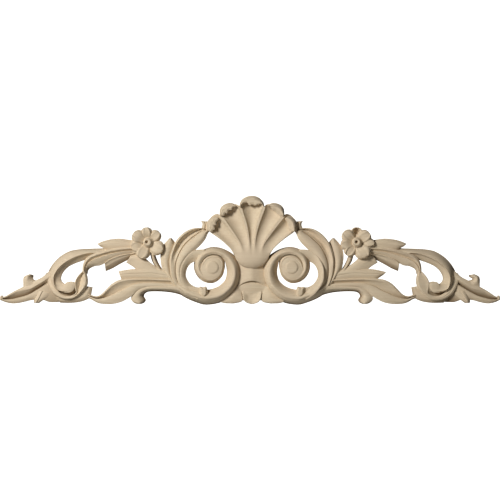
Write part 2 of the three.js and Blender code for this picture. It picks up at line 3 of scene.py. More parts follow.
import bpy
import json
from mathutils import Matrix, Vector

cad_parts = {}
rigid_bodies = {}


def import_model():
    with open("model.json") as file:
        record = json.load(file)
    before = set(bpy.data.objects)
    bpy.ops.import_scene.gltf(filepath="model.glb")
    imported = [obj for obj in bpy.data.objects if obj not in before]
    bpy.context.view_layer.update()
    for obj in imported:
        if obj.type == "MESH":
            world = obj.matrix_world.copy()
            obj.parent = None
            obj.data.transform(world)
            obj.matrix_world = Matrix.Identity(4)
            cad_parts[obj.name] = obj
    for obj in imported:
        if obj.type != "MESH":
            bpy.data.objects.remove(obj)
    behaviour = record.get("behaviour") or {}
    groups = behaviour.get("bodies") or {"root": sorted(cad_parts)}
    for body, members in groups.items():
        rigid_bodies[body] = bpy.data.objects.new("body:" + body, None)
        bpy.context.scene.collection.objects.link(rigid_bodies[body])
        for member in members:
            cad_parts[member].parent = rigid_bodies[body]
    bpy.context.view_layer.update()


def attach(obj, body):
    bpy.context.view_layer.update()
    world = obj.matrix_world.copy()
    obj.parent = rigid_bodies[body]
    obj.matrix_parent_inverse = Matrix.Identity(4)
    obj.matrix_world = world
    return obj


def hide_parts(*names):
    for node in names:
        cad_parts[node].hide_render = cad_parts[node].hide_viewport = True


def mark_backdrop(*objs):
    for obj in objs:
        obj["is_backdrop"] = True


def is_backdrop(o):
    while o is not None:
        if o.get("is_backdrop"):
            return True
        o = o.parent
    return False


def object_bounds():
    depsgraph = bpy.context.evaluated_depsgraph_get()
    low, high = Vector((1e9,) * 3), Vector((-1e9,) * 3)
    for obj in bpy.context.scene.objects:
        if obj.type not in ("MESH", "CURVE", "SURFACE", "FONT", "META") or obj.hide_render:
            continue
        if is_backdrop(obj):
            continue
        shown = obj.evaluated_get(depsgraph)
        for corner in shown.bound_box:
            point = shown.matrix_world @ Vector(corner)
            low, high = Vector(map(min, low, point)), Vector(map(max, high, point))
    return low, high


bl_info = {
    "name": "Carved Wood Applique",
    "version": (1, 0, 0),
    "blender": (4, 5, 0),
    "location": "View3D > Sidebar > Applique",
    "description": "Carves a pierced shell and leaf-scroll applique from closed numpy surfaces",
    "category": "Add Mesh",
}

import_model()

import json
import math

import bpy
import numpy as np
from mathutils import Vector

CAD_NODE = "carved_applique"
PIECE = "pierced_carving"

# The carving is drawn on a sheet 500 units long and 108 high. A place on it is [out, up]:
# how far out from the shell's centre line, and how far up from the foot.
SHEET_LENGTH = 500
SHEET_HEIGHT = 108

# Wood left outside the drawn line on either edge of a form, in sheet units.
OUTSIDE_LINE = 0.4

# The left wing reaches 252 units out and the right one 248: its end leaf is drawn in.
DRAWN_IN_FROM = 222
DRAWN_IN_BY = 0.13

LEFT, RIGHT = -1, 1
SIDES = (LEFT, RIGHT)

# How finely a form is cut: steps between two stations, facets in a piece of section,
# facets in a softened edge, steps round a mound, and points that a circle is drawn with.
STEPS_ALONG = 4
SECTION_FACETS = 5
EDGE_FACETS = 3
MOUND_STEPS = 64
CIRCLE_POINTS = 12

# An edge is never softened over more than this share of its form's width.
SOFTEST_SHARE = 0.22

# A form's ridge line runs halfway between its edges, unless its stations say where.
HALFWAY = 0.5

# Forms joined into one group wait under names that start with this.
FORM = "form_"


def linear(hex_colour):
    """sRGB hex colour as linear RGBA: the sRGB curve undone channel by channel."""
    channels = [int(hex_colour[i:i + 2], 16) / 255 for i in (1, 3, 5)]
    return [c / 12.92 if c <= 0.04045 else ((c + 0.055) / 1.055) ** 2.4 for c in channels] + [1.0]


class CarvingSizes(bpy.types.PropertyGroup):
    length: bpy.props.FloatProperty(
        name="Length", description="From leaf tip to leaf tip", default=0.711, unit="LENGTH")
    height: bpy.props.FloatProperty(
        name="Height", description="From the foot to the top of the shell",
        default=0.1544, unit="LENGTH")
    depth: bpy.props.FloatProperty(
        name="Depth", description="From the flat back to the highest wood",
        default=0.022, unit="LENGTH")
    edge_radius: bpy.props.FloatProperty(
        name="Edge radius", description="How far sanding has softened the edges",
        default=0.0011, unit="LENGTH")


class WoodFinish(bpy.types.PropertyGroup):
    pale: bpy.props.StringProperty(
        name="Pale wood", description="sRGB hex colour of the early wood", default="#d4c3a7")
    deep: bpy.props.StringProperty(
        name="Deep wood", description="sRGB hex colour of the late wood", default="#cbb799")
    rosy: bpy.props.StringProperty(
        name="Rosy wood", description="sRGB hex colour of the pinkish patches", default="#d1bca1")
    # Painted shade: the dark brown that the wood is mixed towards where it lies low, near the back,
    # in place of the shade that falls in the recesses.
    recess: bpy.props.StringProperty(
        name="Recess", description="sRGB hex colour of the wood low down, near the back",
        default="#6e5536")
    grain_width: bpy.props.FloatProperty(
        name="Grain width", description="Width of one grain streak", default=0.0022, unit="LENGTH")
    grain_length: bpy.props.FloatProperty(
        name="Grain length", description="Length of one grain streak", default=0.055, unit="LENGTH")


class StudioSetup(bpy.types.PropertyGroup):
    distance: bpy.props.FloatProperty(
        name="Camera distance", description="From the lens to the carving",
        default=5.0, unit="LENGTH")
    key_power: bpy.props.FloatProperty(
        name="Key light", description="Power of the lamp at the upper left, in watts", default=53.8)
    fill_power: bpy.props.FloatProperty(
        name="Fill light", description="Power of the lamp at the right, in watts", default=0.2)
    paper: bpy.props.StringProperty(
        name="Paper", description="sRGB hex colour of the floor and the backdrop",
        default="#f6f5f2")


def sizes():
    """The carving's sizes, which the user can change."""
    return bpy.context.scene.carving_sizes


# Curves and sections

def smooth_rows(rows, places, closed=False):
    """Catmull-Rom curve through rows of numbers, taken at places counted in rows: each value is
    the cubic whose slope at a row is half the difference of that row's two neighbours."""
    rows = np.asarray(rows, float)
    count = len(rows)
    last = count if closed else count - 1
    start = np.minimum(np.floor(places).astype(int), last - 1)
    t = (places - start)[:, None]

    def pick(k):
        return rows[k % count] if closed else rows[np.clip(k, 0, last)]

    a, b, c, d = (pick(start + k) for k in (-1, 0, 1, 2))
    return b + 0.5 * t * (c - a + t * (2 * a - 5 * b + 4 * c - d + t * (3 * b - a - 3 * c + d)))


def section_curve(section):
    """Section rows of [share across, height, bulge to the next row] as two arrays: a straight line
    between two rows plus a parabola that stands the bulge over its middle."""
    rows = np.array([(*row, 0.0)[:3] for row in section])
    t = np.arange(SECTION_FACETS) / SECTION_FACETS
    low, high = rows[:-1, None, :], rows[1:, None, :]
    across = low[..., 0] + (high[..., 0] - low[..., 0]) * t
    height = low[..., 1] + (high[..., 1] - low[..., 1]) * t + 4 * low[..., 2] * t * (1 - t)
    return np.append(across, rows[-1, 0]), np.append(height, rows[-1, 1])


def blended_sections(sections, share):
    """Sections of equal length spread evenly along a form, mixed in a straight line between
    neighbours, for an array of shares along it."""
    curves = np.array([section_curve(section) for section in sections])
    place = share * (len(sections) - 1)
    knots = np.arange(len(sections))
    across, height = (np.array([np.interp(place, knots, curves[:, kind, k])
                                for k in range(curves.shape[2])]).T for kind in (0, 1))
    return across, height


def rounding(distance, radius):
    """How far a softened edge lies below the form at a distance in from it: a quarter circle."""
    inside = np.clip(radius - distance, 0, None)
    return radius - np.sqrt(np.clip(radius ** 2 - inside ** 2, 0, None))


def along_places(stations, steps):
    """Places along a form: even steps, with closer ones at both ends for the softened end edges."""
    last = stations - 1
    near = np.array([0.06, 0.14])
    even = np.linspace(0, last, last * steps + 1)
    return np.unique(np.concatenate([even, near, last - near]))


# Closed surfaces

def placed(side, out, up, toward):
    """Sheet places as points in metres. The sheet's middle height is the origin's, and toward is
    how far the point stands in front of the back."""
    size = sizes()
    past = np.maximum(np.abs(out) - DRAWN_IN_FROM, 0)
    reach = out - DRAWN_IN_BY * past if side == RIGHT else out
    x = side * reach * size.length / SHEET_LENGTH
    z = (up - SHEET_HEIGHT / 2) * size.height / (SHEET_HEIGHT + 2 * OUTSIDE_LINE)
    return np.stack([x, np.broadcast_to(-toward, x.shape), z], axis=-1)


def grid_faces(rows, columns, wrap_rows=False):
    """Triangles of a grid of points counted row by row, two to a cell. Wrapped, the last row is
    joined to the first."""
    last_row = rows if wrap_rows else rows - 1
    r, c = np.meshgrid(np.arange(last_row), np.arange(columns - 1), indexing="ij")
    below = (r + 1) % rows
    a, b = r * columns + c, r * columns + c + 1
    d, e = below * columns + c, below * columns + c + 1
    halves = np.stack([a, b, e], -1), np.stack([a, e, d], -1)
    return np.concatenate([half.reshape(-1, 3) for half in halves])


def outward(points, faces):
    """The same closed surface with its faces pointing out: turned if its signed volume, the sum of
    corner determinants, is below zero."""
    corners = points[faces]
    volume = np.einsum("ij,ij->i", corners[:, 0], np.cross(corners[:, 1], corners[:, 2])).sum()
    return points, faces if volume > 0 else faces[:, ::-1]


def slab_between(front, back):
    """Closed surface of a front sheet of points, the matching sheet behind it, and the walls
    that join their four edges."""
    rows, columns = front.shape[:2]
    count = rows * columns
    sheet = grid_faces(rows, columns)
    index = np.arange(count).reshape(rows, columns)
    rim = np.concatenate([index[0], index[1:, -1], index[-1, -2::-1], index[-2:0:-1, 0]])
    ahead = np.roll(rim, -1)
    walls = np.concatenate([np.stack([rim, rim + count, ahead + count], -1),
                            np.stack([rim, ahead + count, ahead], -1)])
    faces = np.concatenate([sheet[:, ::-1], sheet + count, walls[:, ::-1]])
    return outward(np.concatenate([front.reshape(-1, 3), back.reshape(-1, 3)]), faces)


def strip(side, stations, *sections, steps=STEPS_ALONG, soft=1.0):
    """Form carried along stations of [out, up, out, up, height, ridge], which give its two edges,
    its height and, where it isn't halfway, its ridge line. A front point lies at its section's share
    of the way across, and as far forward as the section's height times the station's, less a quarter
    circle at each edge and end. The walls go straight back."""
    size = sizes()
    places = along_places(len(stations), steps)
    rows = smooth_rows([[*station, HALFWAY][:6] for station in stations], places)
    edge_a, edge_b, lift, ridge = rows[:, 0:2], rows[:, 2:4], rows[:, 4], rows[:, 5:6]
    unit = edge_b - edge_a
    width = np.linalg.norm(unit, axis=1, keepdims=True)
    unit = unit / width
    edge_a, edge_b = edge_a - unit * OUTSIDE_LINE, edge_b + unit * OUTSIDE_LINE
    width = (width + 2 * OUTSIDE_LINE) * size.length / SHEET_LENGTH
    radius = np.minimum(size.edge_radius * soft, SOFTEST_SHARE * width)

    share, height = blended_sections(sections or (ROUND,), places / (len(stations) - 1))
    share = np.where(share < 0.5, share * 2 * ridge, 1 - (1 - share) * 2 * (1 - ridge))
    turn = np.linspace(0, math.pi / 2, EDGE_FACETS + 1)[:-1]
    inset = radius / width * (1 - np.cos(turn))
    band = radius / width
    across = np.hstack([inset, band + (1 - 2 * band) * share, 1 - inset[:, ::-1]])
    side_columns = np.ones(len(turn))
    heights = np.hstack([height[:, :1] * side_columns, height, height[:, -1:] * side_columns])

    middle = placed(RIGHT, *((edge_a + edge_b) / 2).T, 0.0)
    travelled = np.append(0, np.cumsum(np.linalg.norm(np.diff(middle, axis=0), axis=1)))
    end_radius = min(size.edge_radius * soft, SOFTEST_SHARE * travelled[-1])
    from_end = np.minimum(travelled, travelled[-1] - travelled)[:, None]
    edge_drop = rounding(np.minimum(across, 1 - across) * width, radius)
    toward = heights * lift[:, None] * size.depth - edge_drop - rounding(from_end, end_radius)

    spot = edge_a[:, None, :] + (edge_b - edge_a)[:, None, :] * across[..., None]
    front = placed(side, spot[..., 0], spot[..., 1], toward)
    return slab_between(front, placed(side, spot[..., 0], spot[..., 1], -size.depth))


def mound(side, centre, outline, section):
    """Form round a centre: a closed smooth outline of [out, up] or [out, up, rim height, bulge],
    shrunk towards the centre by each share of a section that runs from the centre outwards, and
    standing at the section's heights. Where the outline gives a rim height, the section's last
    stretch runs down to it instead."""
    size = sizes()
    turns = np.arange(MOUND_STEPS) / MOUND_STEPS
    rows = smooth_rows(outline, turns * len(outline), closed=True)
    arm = rows[:, 0:2] - centre
    reach = np.linalg.norm(arm, axis=1, keepdims=True)
    arm = arm * (1 + OUTSIDE_LINE / reach)
    share, height = section_curve(section)
    height = np.repeat(height[None, :], MOUND_STEPS, axis=0)
    if rows.shape[1] > 2:
        start, t = section[-2], np.linspace(0, 1, SECTION_FACETS + 1)
        run_out = start[1] + (rows[:, 2:3] - start[1]) * t + 4 * rows[:, 3:4] * t * (1 - t)
        height = np.hstack([height[:, :-SECTION_FACETS - 1], run_out])
    reach = (reach + OUTSIDE_LINE) * size.length / SHEET_LENGTH
    band = size.edge_radius / reach
    turn = np.linspace(0, math.pi / 2, EDGE_FACETS + 1)[-2::-1]
    share = np.hstack([share * (1 - band), 1 - band * (1 - np.cos(turn))])
    height = np.hstack([height, height[:, -1:] * np.ones(len(turn))])
    toward = height * size.depth - rounding((1 - share) * reach, size.edge_radius)
    spot = np.array(centre) + arm[:, None, :] * share[..., None]
    front = placed(side, spot[:, 1:, 0], spot[:, 1:, 1], toward[:, 1:])
    rings = front.shape[1]
    rim = placed(side, spot[:, -1, 0], spot[:, -1, 1], -size.depth)
    peak = placed(side, np.array([centre[0]]), np.array([centre[1]]), toward[:1, 0])
    base = placed(side, np.array([centre[0]]), np.array([centre[1]]), -size.depth)
    points = np.concatenate([np.hstack([front, rim[:, None, :]]).reshape(-1, 3), peak, base])
    columns = rings + 1
    faces = grid_faces(MOUND_STEPS, columns, wrap_rows=True)
    first = np.arange(MOUND_STEPS) * columns
    ahead = np.roll(first, -1)
    top = np.full(MOUND_STEPS, MOUND_STEPS * columns)
    caps = np.concatenate([np.stack([top, first, ahead], -1),
                           np.stack([top + 1, ahead + rings, first + rings], -1)])
    return outward(points, np.concatenate([faces, caps]))


def ring_around(centre, radius):
    """Circle of [out, up] places round a centre."""
    angle = 2 * math.pi * np.arange(CIRCLE_POINTS) / CIRCLE_POINTS
    return np.stack([centre[0] + radius * np.cos(angle), centre[1] + radius * np.sin(angle)], -1)


# Meshes and joins

def mesh_object(name, points, faces):
    """Object at the origin with a mesh of points and faces."""
    mesh = bpy.data.meshes.new(name)
    mesh.from_pydata(points.tolist(), [], faces.tolist())
    made = bpy.data.objects.new(name, mesh)
    bpy.context.scene.collection.objects.link(made)
    return made


def combined(whole, parts, operation):
    """The first object with every part joined to it or cut from it, by one boolean each."""
    for part in parts:
        step = whole.modifiers.new(part.name, "BOOLEAN")
        step.operation = operation
        step.solver = "MANIFOLD"
        step.object = part
    graph = bpy.context.evaluated_depsgraph_get()
    mesh = bpy.data.meshes.new_from_object(whole.evaluated_get(graph))
    whole.modifiers.clear()
    whole.data = mesh
    for part in parts:
        bpy.data.objects.remove(part)
    if not mesh.polygons:
        raise RuntimeError(f"{whole.name} came out empty")
    return whole


def carve_group(name, solids):
    """Group of overlapping forms as one closed object."""
    made = [mesh_object(f"{FORM}{name}_{k}", *solid) for k, solid in enumerate(solids)]
    whole = combined(made[0], made[1:], "UNION")
    whole.name = FORM + name
    return whole


# Sections, from the first edge of a strip to the second
ROUND = [[0, 0.46, 0.2], [0.5, 1, 0.16], [1, 0.5]]
LEVEL = [[0, 1], [0.5, 1], [1, 1]]


# End leaves

def end_leaf(side):
    """Hollow blade with a rolled lower lip, a square curl standing on its upper edge, a small curl
    at the tip and a lobe hanging from its root."""
    # The left leaf's root is full along its lower edge, and the right one falls away there.
    foot_height = 0.6 if side == LEFT else 0.36
    root = [[0, 0.8, 0.08], [0.3, 1, 0.02], [0.5, 0.9], [0.56, 0.9, 0.02], [1, foot_height]]
    middle = [[0, 0.8, 0.04], [0.26, 0.96, -0.06], [0.5, 0.3], [0.55, 0.76, 0.1], [1, 0.56]]
    tip = [[0, 0.86, 0.02], [0.08, 0.86, -0.06], [0.5, 0.34], [0.57, 0.82, 0.08], [1, 0.66]]
    blade = strip(side, [
        [194, 38.6, 192, 2.5, 0.34, 0.3],
        [203, 32.4, 202, 2.3, 0.39, 0.32],
        [209, 27.1, 208.5, 4.4, 0.47, 0.36],
        [215, 23.9, 215, 4.9, 0.49, 0.48],
        [221.5, 20.6, 221.5, 4.1, 0.48, 0.6],
        [228, 17.4, 227.5, 2.6, 0.46, 0.62],
        [235, 14, 234, 1.3, 0.43, 0.58],
        [241, 10.7, 240, 1, 0.42, 0.56],
        [246, 7.8, 245.5, 2, 0.4],
        [249.5, 6.9, 249, 3.2, 0.4],
        [252, 6.4, 252, 4.6, 0.4],
    ], root, middle, middle, tip, tip, tip)
    # The right curl ends in a beak over a narrow neck, and the left one is plain.
    neck, beak = (219.2, 219) if side == LEFT else (220.8, 217.6)
    square_curl = strip(side, [
        [228, 14, 206, 22, 0.4],
        [228.2, 18, 213, 23, 0.44],
        [228.3, 22, neck - 1.6, 24, 0.48],
        [228.2, 25.4, neck, 25.4, 0.52],
        [226.8, 28, beak, 27.4, 0.51],
        [222, 30, beak, 29.2, 0.46],
    ], [[0, 0.8, 0.06], [0.5, 1, 0.04], [1, 0.66]], [[0, 0.78, 0.1], [0.4, 1, 0.04], [1, 0.36]])
    tip_curl = strip(side, [
        [252, 4.6, 249, 4, 0.36],
        [251.6, 6.8, 249.4, 6.8, 0.36],
        [250.8, 8.6, 249.4, 8.6, 0.35],
    ], [[0, 0.9, 0.05], [0.5, 1], [1, 0.9]])
    root_lobe = strip(side, [
        [214, 14, 201, 12, 0.42, 0.4],
        [216, 9, 204.5, 8, 0.46, 0.42],
        [217, 5.6, 208, 5, 0.47, 0.45],
        [217.8, 3.2, 211.4, 2.4, 0.45],
        [217.4, 1.1, 213.6, 0.9, 0.4],
    ], [[0, 0.72, 0.08], [0.42, 1], [0.5, 0.86, 0.06], [1, 0.68]])
    return [blade, square_curl, tip_curl, root_lobe]


# C scrolls

def outer_scroll(side):
    """Band that falls steeply outside its crest and is coved inside it, the knob it curls into, the
    hollow leaf that wraps round below the knob, and the leaf backing it."""
    start = [[0, 0.6, 0.1], [0.48, 1], [0.53, 0.96, -0.1], [1, 0.6]]
    top = [[0, 0.4, 0.12], [0.48, 1], [0.6, 0.7], [1, 0.42]]
    cove = [[0, 0.06, 0.02], [0.48, 1], [0.6, 0.72], [1, 0.46]]
    turning = [[0, 0.06, 0.06], [0.48, 1], [0.6, 0.93, -0.02], [1, 0.86]]
    knob_end = [[0, 0.5, 0.1], [0.48, 1], [0.53, 1], [1, 0.97]]
    band = strip(side, [
        [141, 56.4, 146, 46, 0.44],
        [150, 55.6, 153, 46, 0.52],
        [161, 55.2, 163, 45.6, 0.6, 0.42],
        [172.5, 54.6, 171, 43.2, 0.66],
        [182.5, 52.6, 177.6, 40.8, 0.7, 0.6],
        [192, 47, 184, 37.4, 0.72, 0.61],
        [199.2, 39.4, 188.8, 32.4, 0.73, 0.56],
        [203.6, 31, 191.2, 27, 0.73, 0.52],
        [203.8, 23, 190.6, 23, 0.72, 0.46],
        [199.6, 14.8, 188.4, 20.6, 0.7, 0.32],
        [192.8, 11.8, 186.6, 19.4, 0.67, 0.2],
        [186, 11.2, 184.4, 20, 0.66, 0.2],
        [182, 11.8, 182.4, 20, 0.65, 0.2],
    ], start, top, top, top, cove, turning, knob_end)
    knob = mound(side, [181.6, 17.4], [
        [188, 12.6], [184, 11.8], [180.8, 12.4], [178.2, 14.8], [177.2, 18.4], [177.4, 21.2],
        [179, 22], [182, 22.2], [185.2, 21.3], [187.4, 18],
    ], [[0, 0.65], [0.6, 0.64], [1, 0.61]])
    # The left leaf falls away on its outer side and is hollow beside the knob, over a deep channel.
    # The right one is nearly level, and its channel is shallow.
    if side == LEFT:
        outer_side, hollow, channel_lift = [0.3, 0.14], 0.56, 0.24
    else:
        outer_side, hollow, channel_lift = [0.92, 0.05], 0.93, 0.5
    below = [[0, *outer_side], [0.34, 0.97, 0.02], [0.7, 1], [1, 0.94]]
    beside = [[0, 0.84, 0.06], [0.2, 0.98], [0.62, hollow, -0.02], [1, 0.96]]
    wrapping_leaf = strip(side, [
        [206, 31, 196, 30, 0.3],
        [206, 23, 196, 22, 0.4],
        [203.4, 16, 195, 17, 0.48],
        [198.6, 9.4, 193.6, 12.4, 0.51],
        [190, 4.8, 188.2, 8.4, 0.53],
        [180, 4.6, 181.8, 7.8, 0.55],
        [172.6, 9.4, 175.6, 11, 0.6],
        [167.4, 14.6, 176.4, 16.4, 0.64],
        [164.6, 20.4, 176.4, 22.4, 0.66],
        [164.8, 27, 173.6, 28, 0.62],
        [166.6, 33, 168.6, 33.4, 0.54],
    ], below, below, below, beside, beside)
    channel_floor = strip(side, [
        [198, 20, 196, 4, 0.24],
        [190, 18, 188, 3, 0.24],
        [183, 17, 182, 4, 0.24],
        [180, 16, 173, 10, channel_lift],
        [179, 21, 169, 21, channel_lift],
    ], LEVEL)
    backing_leaf = strip(side, [
        [165.6, 18, 159.8, 17, 0.38],
        [168.6, 14, 160.8, 11.5, 0.38],
        [172, 11, 162.5, 6.5, 0.37],
        [178, 8, 170.5, 2.8, 0.34],
        [186, 7, 181, 1.4, 0.3],
        [196, 7, 192, 1.6, 0.28],
    ], [[0, 1, -0.04], [0.6, 0.95], [1, 0.7]])
    return [band, knob, wrapping_leaf, channel_floor, backing_leaf]


# Sprays

def spray(side):
    """Three leaves sweeping out from the flower, the middle one over the end of the C scroll."""
    upper_leaf = strip(side, [
        [110, 63, 110, 53, 0.54],
        [122, 64, 122, 54, 0.57],
        [132, 65.3, 132, 53.5, 0.58],
        [141, 64.6, 140, 53.4, 0.57],
        [147, 63.2, 145, 54.4, 0.55],
        [151.4, 61.6, 148.6, 56.4, 0.52],
        [154.4, 60, 152, 58, 0.48],
    ], [[0, 0.7, 0.1], [0.4, 0.98, 0.03], [1, 0.84]], [[0, 0.7, 0.1], [0.4, 0.98, 0.03], [1, 0.7]])
    middle_leaf = strip(side, [
        [108, 58, 110, 48, 0.64, 0.4],
        [121, 57, 122, 49, 0.66, 0.4],
        [132, 56.4, 132, 47, 0.67, 0.4],
        [142, 54.8, 140, 44.2, 0.67, 0.38],
        [152, 52, 146.5, 41.7, 0.67, 0.36],
        [161, 49, 152, 39, 0.67, 0.36],
        [166.6, 44, 158, 38, 0.65, 0.38],
        [168.8, 37.6, 163.5, 34.9, 0.63, 0.45],
        [169, 31, 164.8, 30.2, 0.58],
    ], [[0, 0.84, 0.04], [0.2, 0.98, -0.04], [0.5, 0.7], [0.55, 0.86, 0.05], [1, 0.5]])
    lower_leaf = strip(side, [
        [110, 54, 109, 48, 0.54],
        [119, 51, 116.5, 48, 0.54],
        [128, 49.7, 125, 44.2, 0.52],
        [137, 47, 133, 40, 0.5],
        [143.5, 44, 140, 36, 0.48],
        [147.2, 40.6, 146.4, 33.3, 0.45],
    ], [[0, 1, -0.06], [0.45, 0.72, -0.03], [1, 0.34]])
    return [upper_leaf, middle_leaf, lower_leaf]


# Flowers

FLOWER_CENTRE = np.array([104.2, 61.5])
# Each petal as [angle from straight up towards the shell, reach, half width, height, hollow]. They
# are listed one by one, six on the left flower and seven on the right one.
PETALS = {
    LEFT: [[-6, 15.4, 5.6, 0.84, 0], [48, 15.8, 5.8, 0.8, 0], [119, 17.2, 7.4, 0.86, 0],
           [207, 17, 7.2, 0.84, 0], [253, 17, 7, 0.8, 0.04], [302, 17.2, 6.8, 0.89, 0]],
    RIGHT: [[-2, 15.4, 5.6, 0.86, 0.6], [50, 16.6, 6.4, 0.84, 0.04], [101, 15.6, 6, 0.8, 0],
            [142, 15.8, 5.8, 0.87, 0.12], [217, 17.6, 8.2, 0.87, 0], [269, 18.3, 4.8, 0.77, 0],
            [306, 16.4, 6.8, 0.83, 0]],
}
# The disc behind the petals, and the button over their roots. On both flowers the button stands a
# little to the right of the centre, and its drilled hole to the left.
BACKING_RADIUS = 8
BUTTON_RADIUS = 4.9
BUTTON_RIGHT, BUTTON_UP = 0.7, 0.2
HOLE_OUT, HOLE_LEFT, HOLE_UP = 0.6, 0.8, 1
# A petal's half width and height along it, as shares of its largest ones.
PETAL_PLACES = [0.1, 0.34, 0.6, 0.8, 0.93, 1]
PETAL_WIDTHS = [0.5, 0.8, 1, 0.9, 0.62, 0.26]
PETAL_HEIGHTS = [0.64, 0.8, 0.97, 1.01, 1, 0.96]


def petal(side, angle, reach, half_width, height, hollow):
    """Petal that widens and rises from its root to a rounded end along a line at the angle, flat or
    hollowed across."""
    turn = math.radians(angle)
    along = np.array([-math.sin(turn), math.cos(turn)])
    beside = np.array([along[1], -along[0]])
    middle = FLOWER_CENTRE + np.outer(PETAL_PLACES, along) * reach
    arm = np.outer(PETAL_WIDTHS, beside) * half_width
    lift = height * np.array(PETAL_HEIGHTS)
    return strip(side, np.column_stack([middle - arm, middle + arm, lift]),
                 [[0, 0.82, 0.1], [0.3, 1 - hollow], [0.7, 1 - hollow, 0.1], [1, 0.82]])


def flower(side):
    """Petals that overlap round a drilled button, and the stem that carries them."""
    petals = [petal(side, *shape) for shape in PETALS[side]]
    backing = mound(side, FLOWER_CENTRE, ring_around(FLOWER_CENTRE, BACKING_RADIUS),
                    [[0, 0.56], [0.5, 0.56], [1, 0.5]])
    hole = FLOWER_CENTRE + [HOLE_OUT - HOLE_LEFT * side, HOLE_UP]
    button_centre = FLOWER_CENTRE + [BUTTON_RIGHT * side, BUTTON_UP]
    button = mound(side, hole, ring_around(button_centre, BUTTON_RADIUS),
                   [[0, 0.68], [0.2, 0.7], [0.33, 0.94, 0.02], [0.7, 0.96, 0.02], [1, 0.74]])
    stem = strip(side, [
        [102, 52, 98, 52, 0.5],
        [99.8, 43.6, 94.6, 43, 0.48],
        [96.8, 38.2, 91.4, 37, 0.48],
        [91, 30, 86, 29, 0.5],
    ])
    return [backing, *petals, button, stem]


# Lower leaves

def lower_leaves(side):
    """Two leaflets, the long hollow leaf that meets the C scroll, and the branch under it that ends
    in a hook."""
    plain = [[0, 0.8, 0.06], [0.42, 0.98], [0.5, 0.99], [0.58, 0.98, 0.02], [1, 0.76]]
    folded = [[0, 0.78, 0.06], [0.42, 0.97], [0.5, 0.92], [0.58, 0.94, 0.02], [1, 0.72]]
    rear_leaflet = strip(side, [
        [78, 34, 80, 22, 0.54, 0.4],
        [91, 34.5, 92, 24, 0.52, 0.4],
        [101.4, 41, 104, 27, 0.5, 0.4],
        [107.6, 46.4, 113, 33, 0.5, 0.4],
        [114.4, 50.6, 119.2, 38, 0.48, 0.4],
        [121, 49, 125.6, 42, 0.46, 0.4],
    ], plain)
    # The left leaflet is cut off across its end, and the right one is pointed.
    leaflet_end = [
        [128, 33.6, 127.4, 23.8, 0.53, 0.36],
        [133.4, 32.6, 130.6, 24.6, 0.49, 0.4],
    ] if side == LEFT else [
        [127.6, 33.4, 125.4, 25.6, 0.53, 0.36],
        [134, 31.8, 132, 29.8, 0.49, 0.4],
    ]
    leaflet = strip(side, [
        [78, 32, 80, 20, 0.58, 0.4],
        [97, 35.5, 97, 23, 0.57, 0.38],
        [111, 35, 111, 23.5, 0.56, 0.36],
        [121, 34.6, 121, 23.4, 0.55, 0.36],
        *leaflet_end,
    ], folded)
    hollow = [[0, 0.88, 0.01], [0.07, 0.93, -0.07], [0.46, 0.62], [0.52, 0.82, 0.07], [1, 0.74]]
    deep_hollow = [[0, 0.84, 0.01], [0.07, 0.9, -0.09], [0.48, 0.44], [0.53, 0.77, 0.1], [1, 0.66]]
    long_leaf = strip(side, [
        [72, 24, 72, 14, 0.68, 0.45],
        [87, 24.7, 87, 16.2, 0.68, 0.45],
        [102, 25.3, 102, 16.7, 0.68, 0.45],
        [114, 25.4, 113, 15, 0.68, 0.45],
        [124, 25.2, 118.2, 10.4, 0.68, 0.47],
        [132.4, 24, 122, 7.2, 0.68, 0.52],
        [139.6, 20.2, 131, 2.4, 0.66],
        [145.4, 14.6, 140, 0.4, 0.62, 0.46],
        [150.2, 9.8, 148, 0.4, 0.56, 0.4],
        [155.6, 7.6, 154.5, 1.6, 0.5, 0.36],
        [161, 8.8, 160.5, 4.9, 0.44, 0.4],
        [164.8, 9.8, 163.5, 6, 0.38],
    ], hollow, hollow, deep_hollow, deep_hollow)
    falling = [[0, 0.97, 0.02], [0.5, 0.9, 0.1], [1, 0.16]]
    hooked_branch = strip(side, [
        [49, 16, 49, 0, 0.8],
        [60, 17, 60, 3.8, 0.76],
        [69, 18, 69, 8.6, 0.72],
        [78, 18, 78, 11.4, 0.68],
        [89, 17.5, 89, 12.8, 0.62],
        [100, 17.3, 100, 13, 0.58],
        [109, 16, 105, 12.2, 0.54],
        [116, 12.7, 107.6, 10.2, 0.52],
        [119.7, 8.5, 108.4, 7.7, 0.5],
        [120.4, 4.5, 106.6, 4.5, 0.48],
        [117.5, 1.2, 107.7, 1.7, 0.46],
        [114, 0, 111, 0, 0.4],
    ], falling, falling, [[0, 0.6, 0.12], [0.5, 1, 0.12], [1, 0.4]])
    return [rear_leaflet, leaflet, long_leaf, hooked_branch]


# Tall leaves

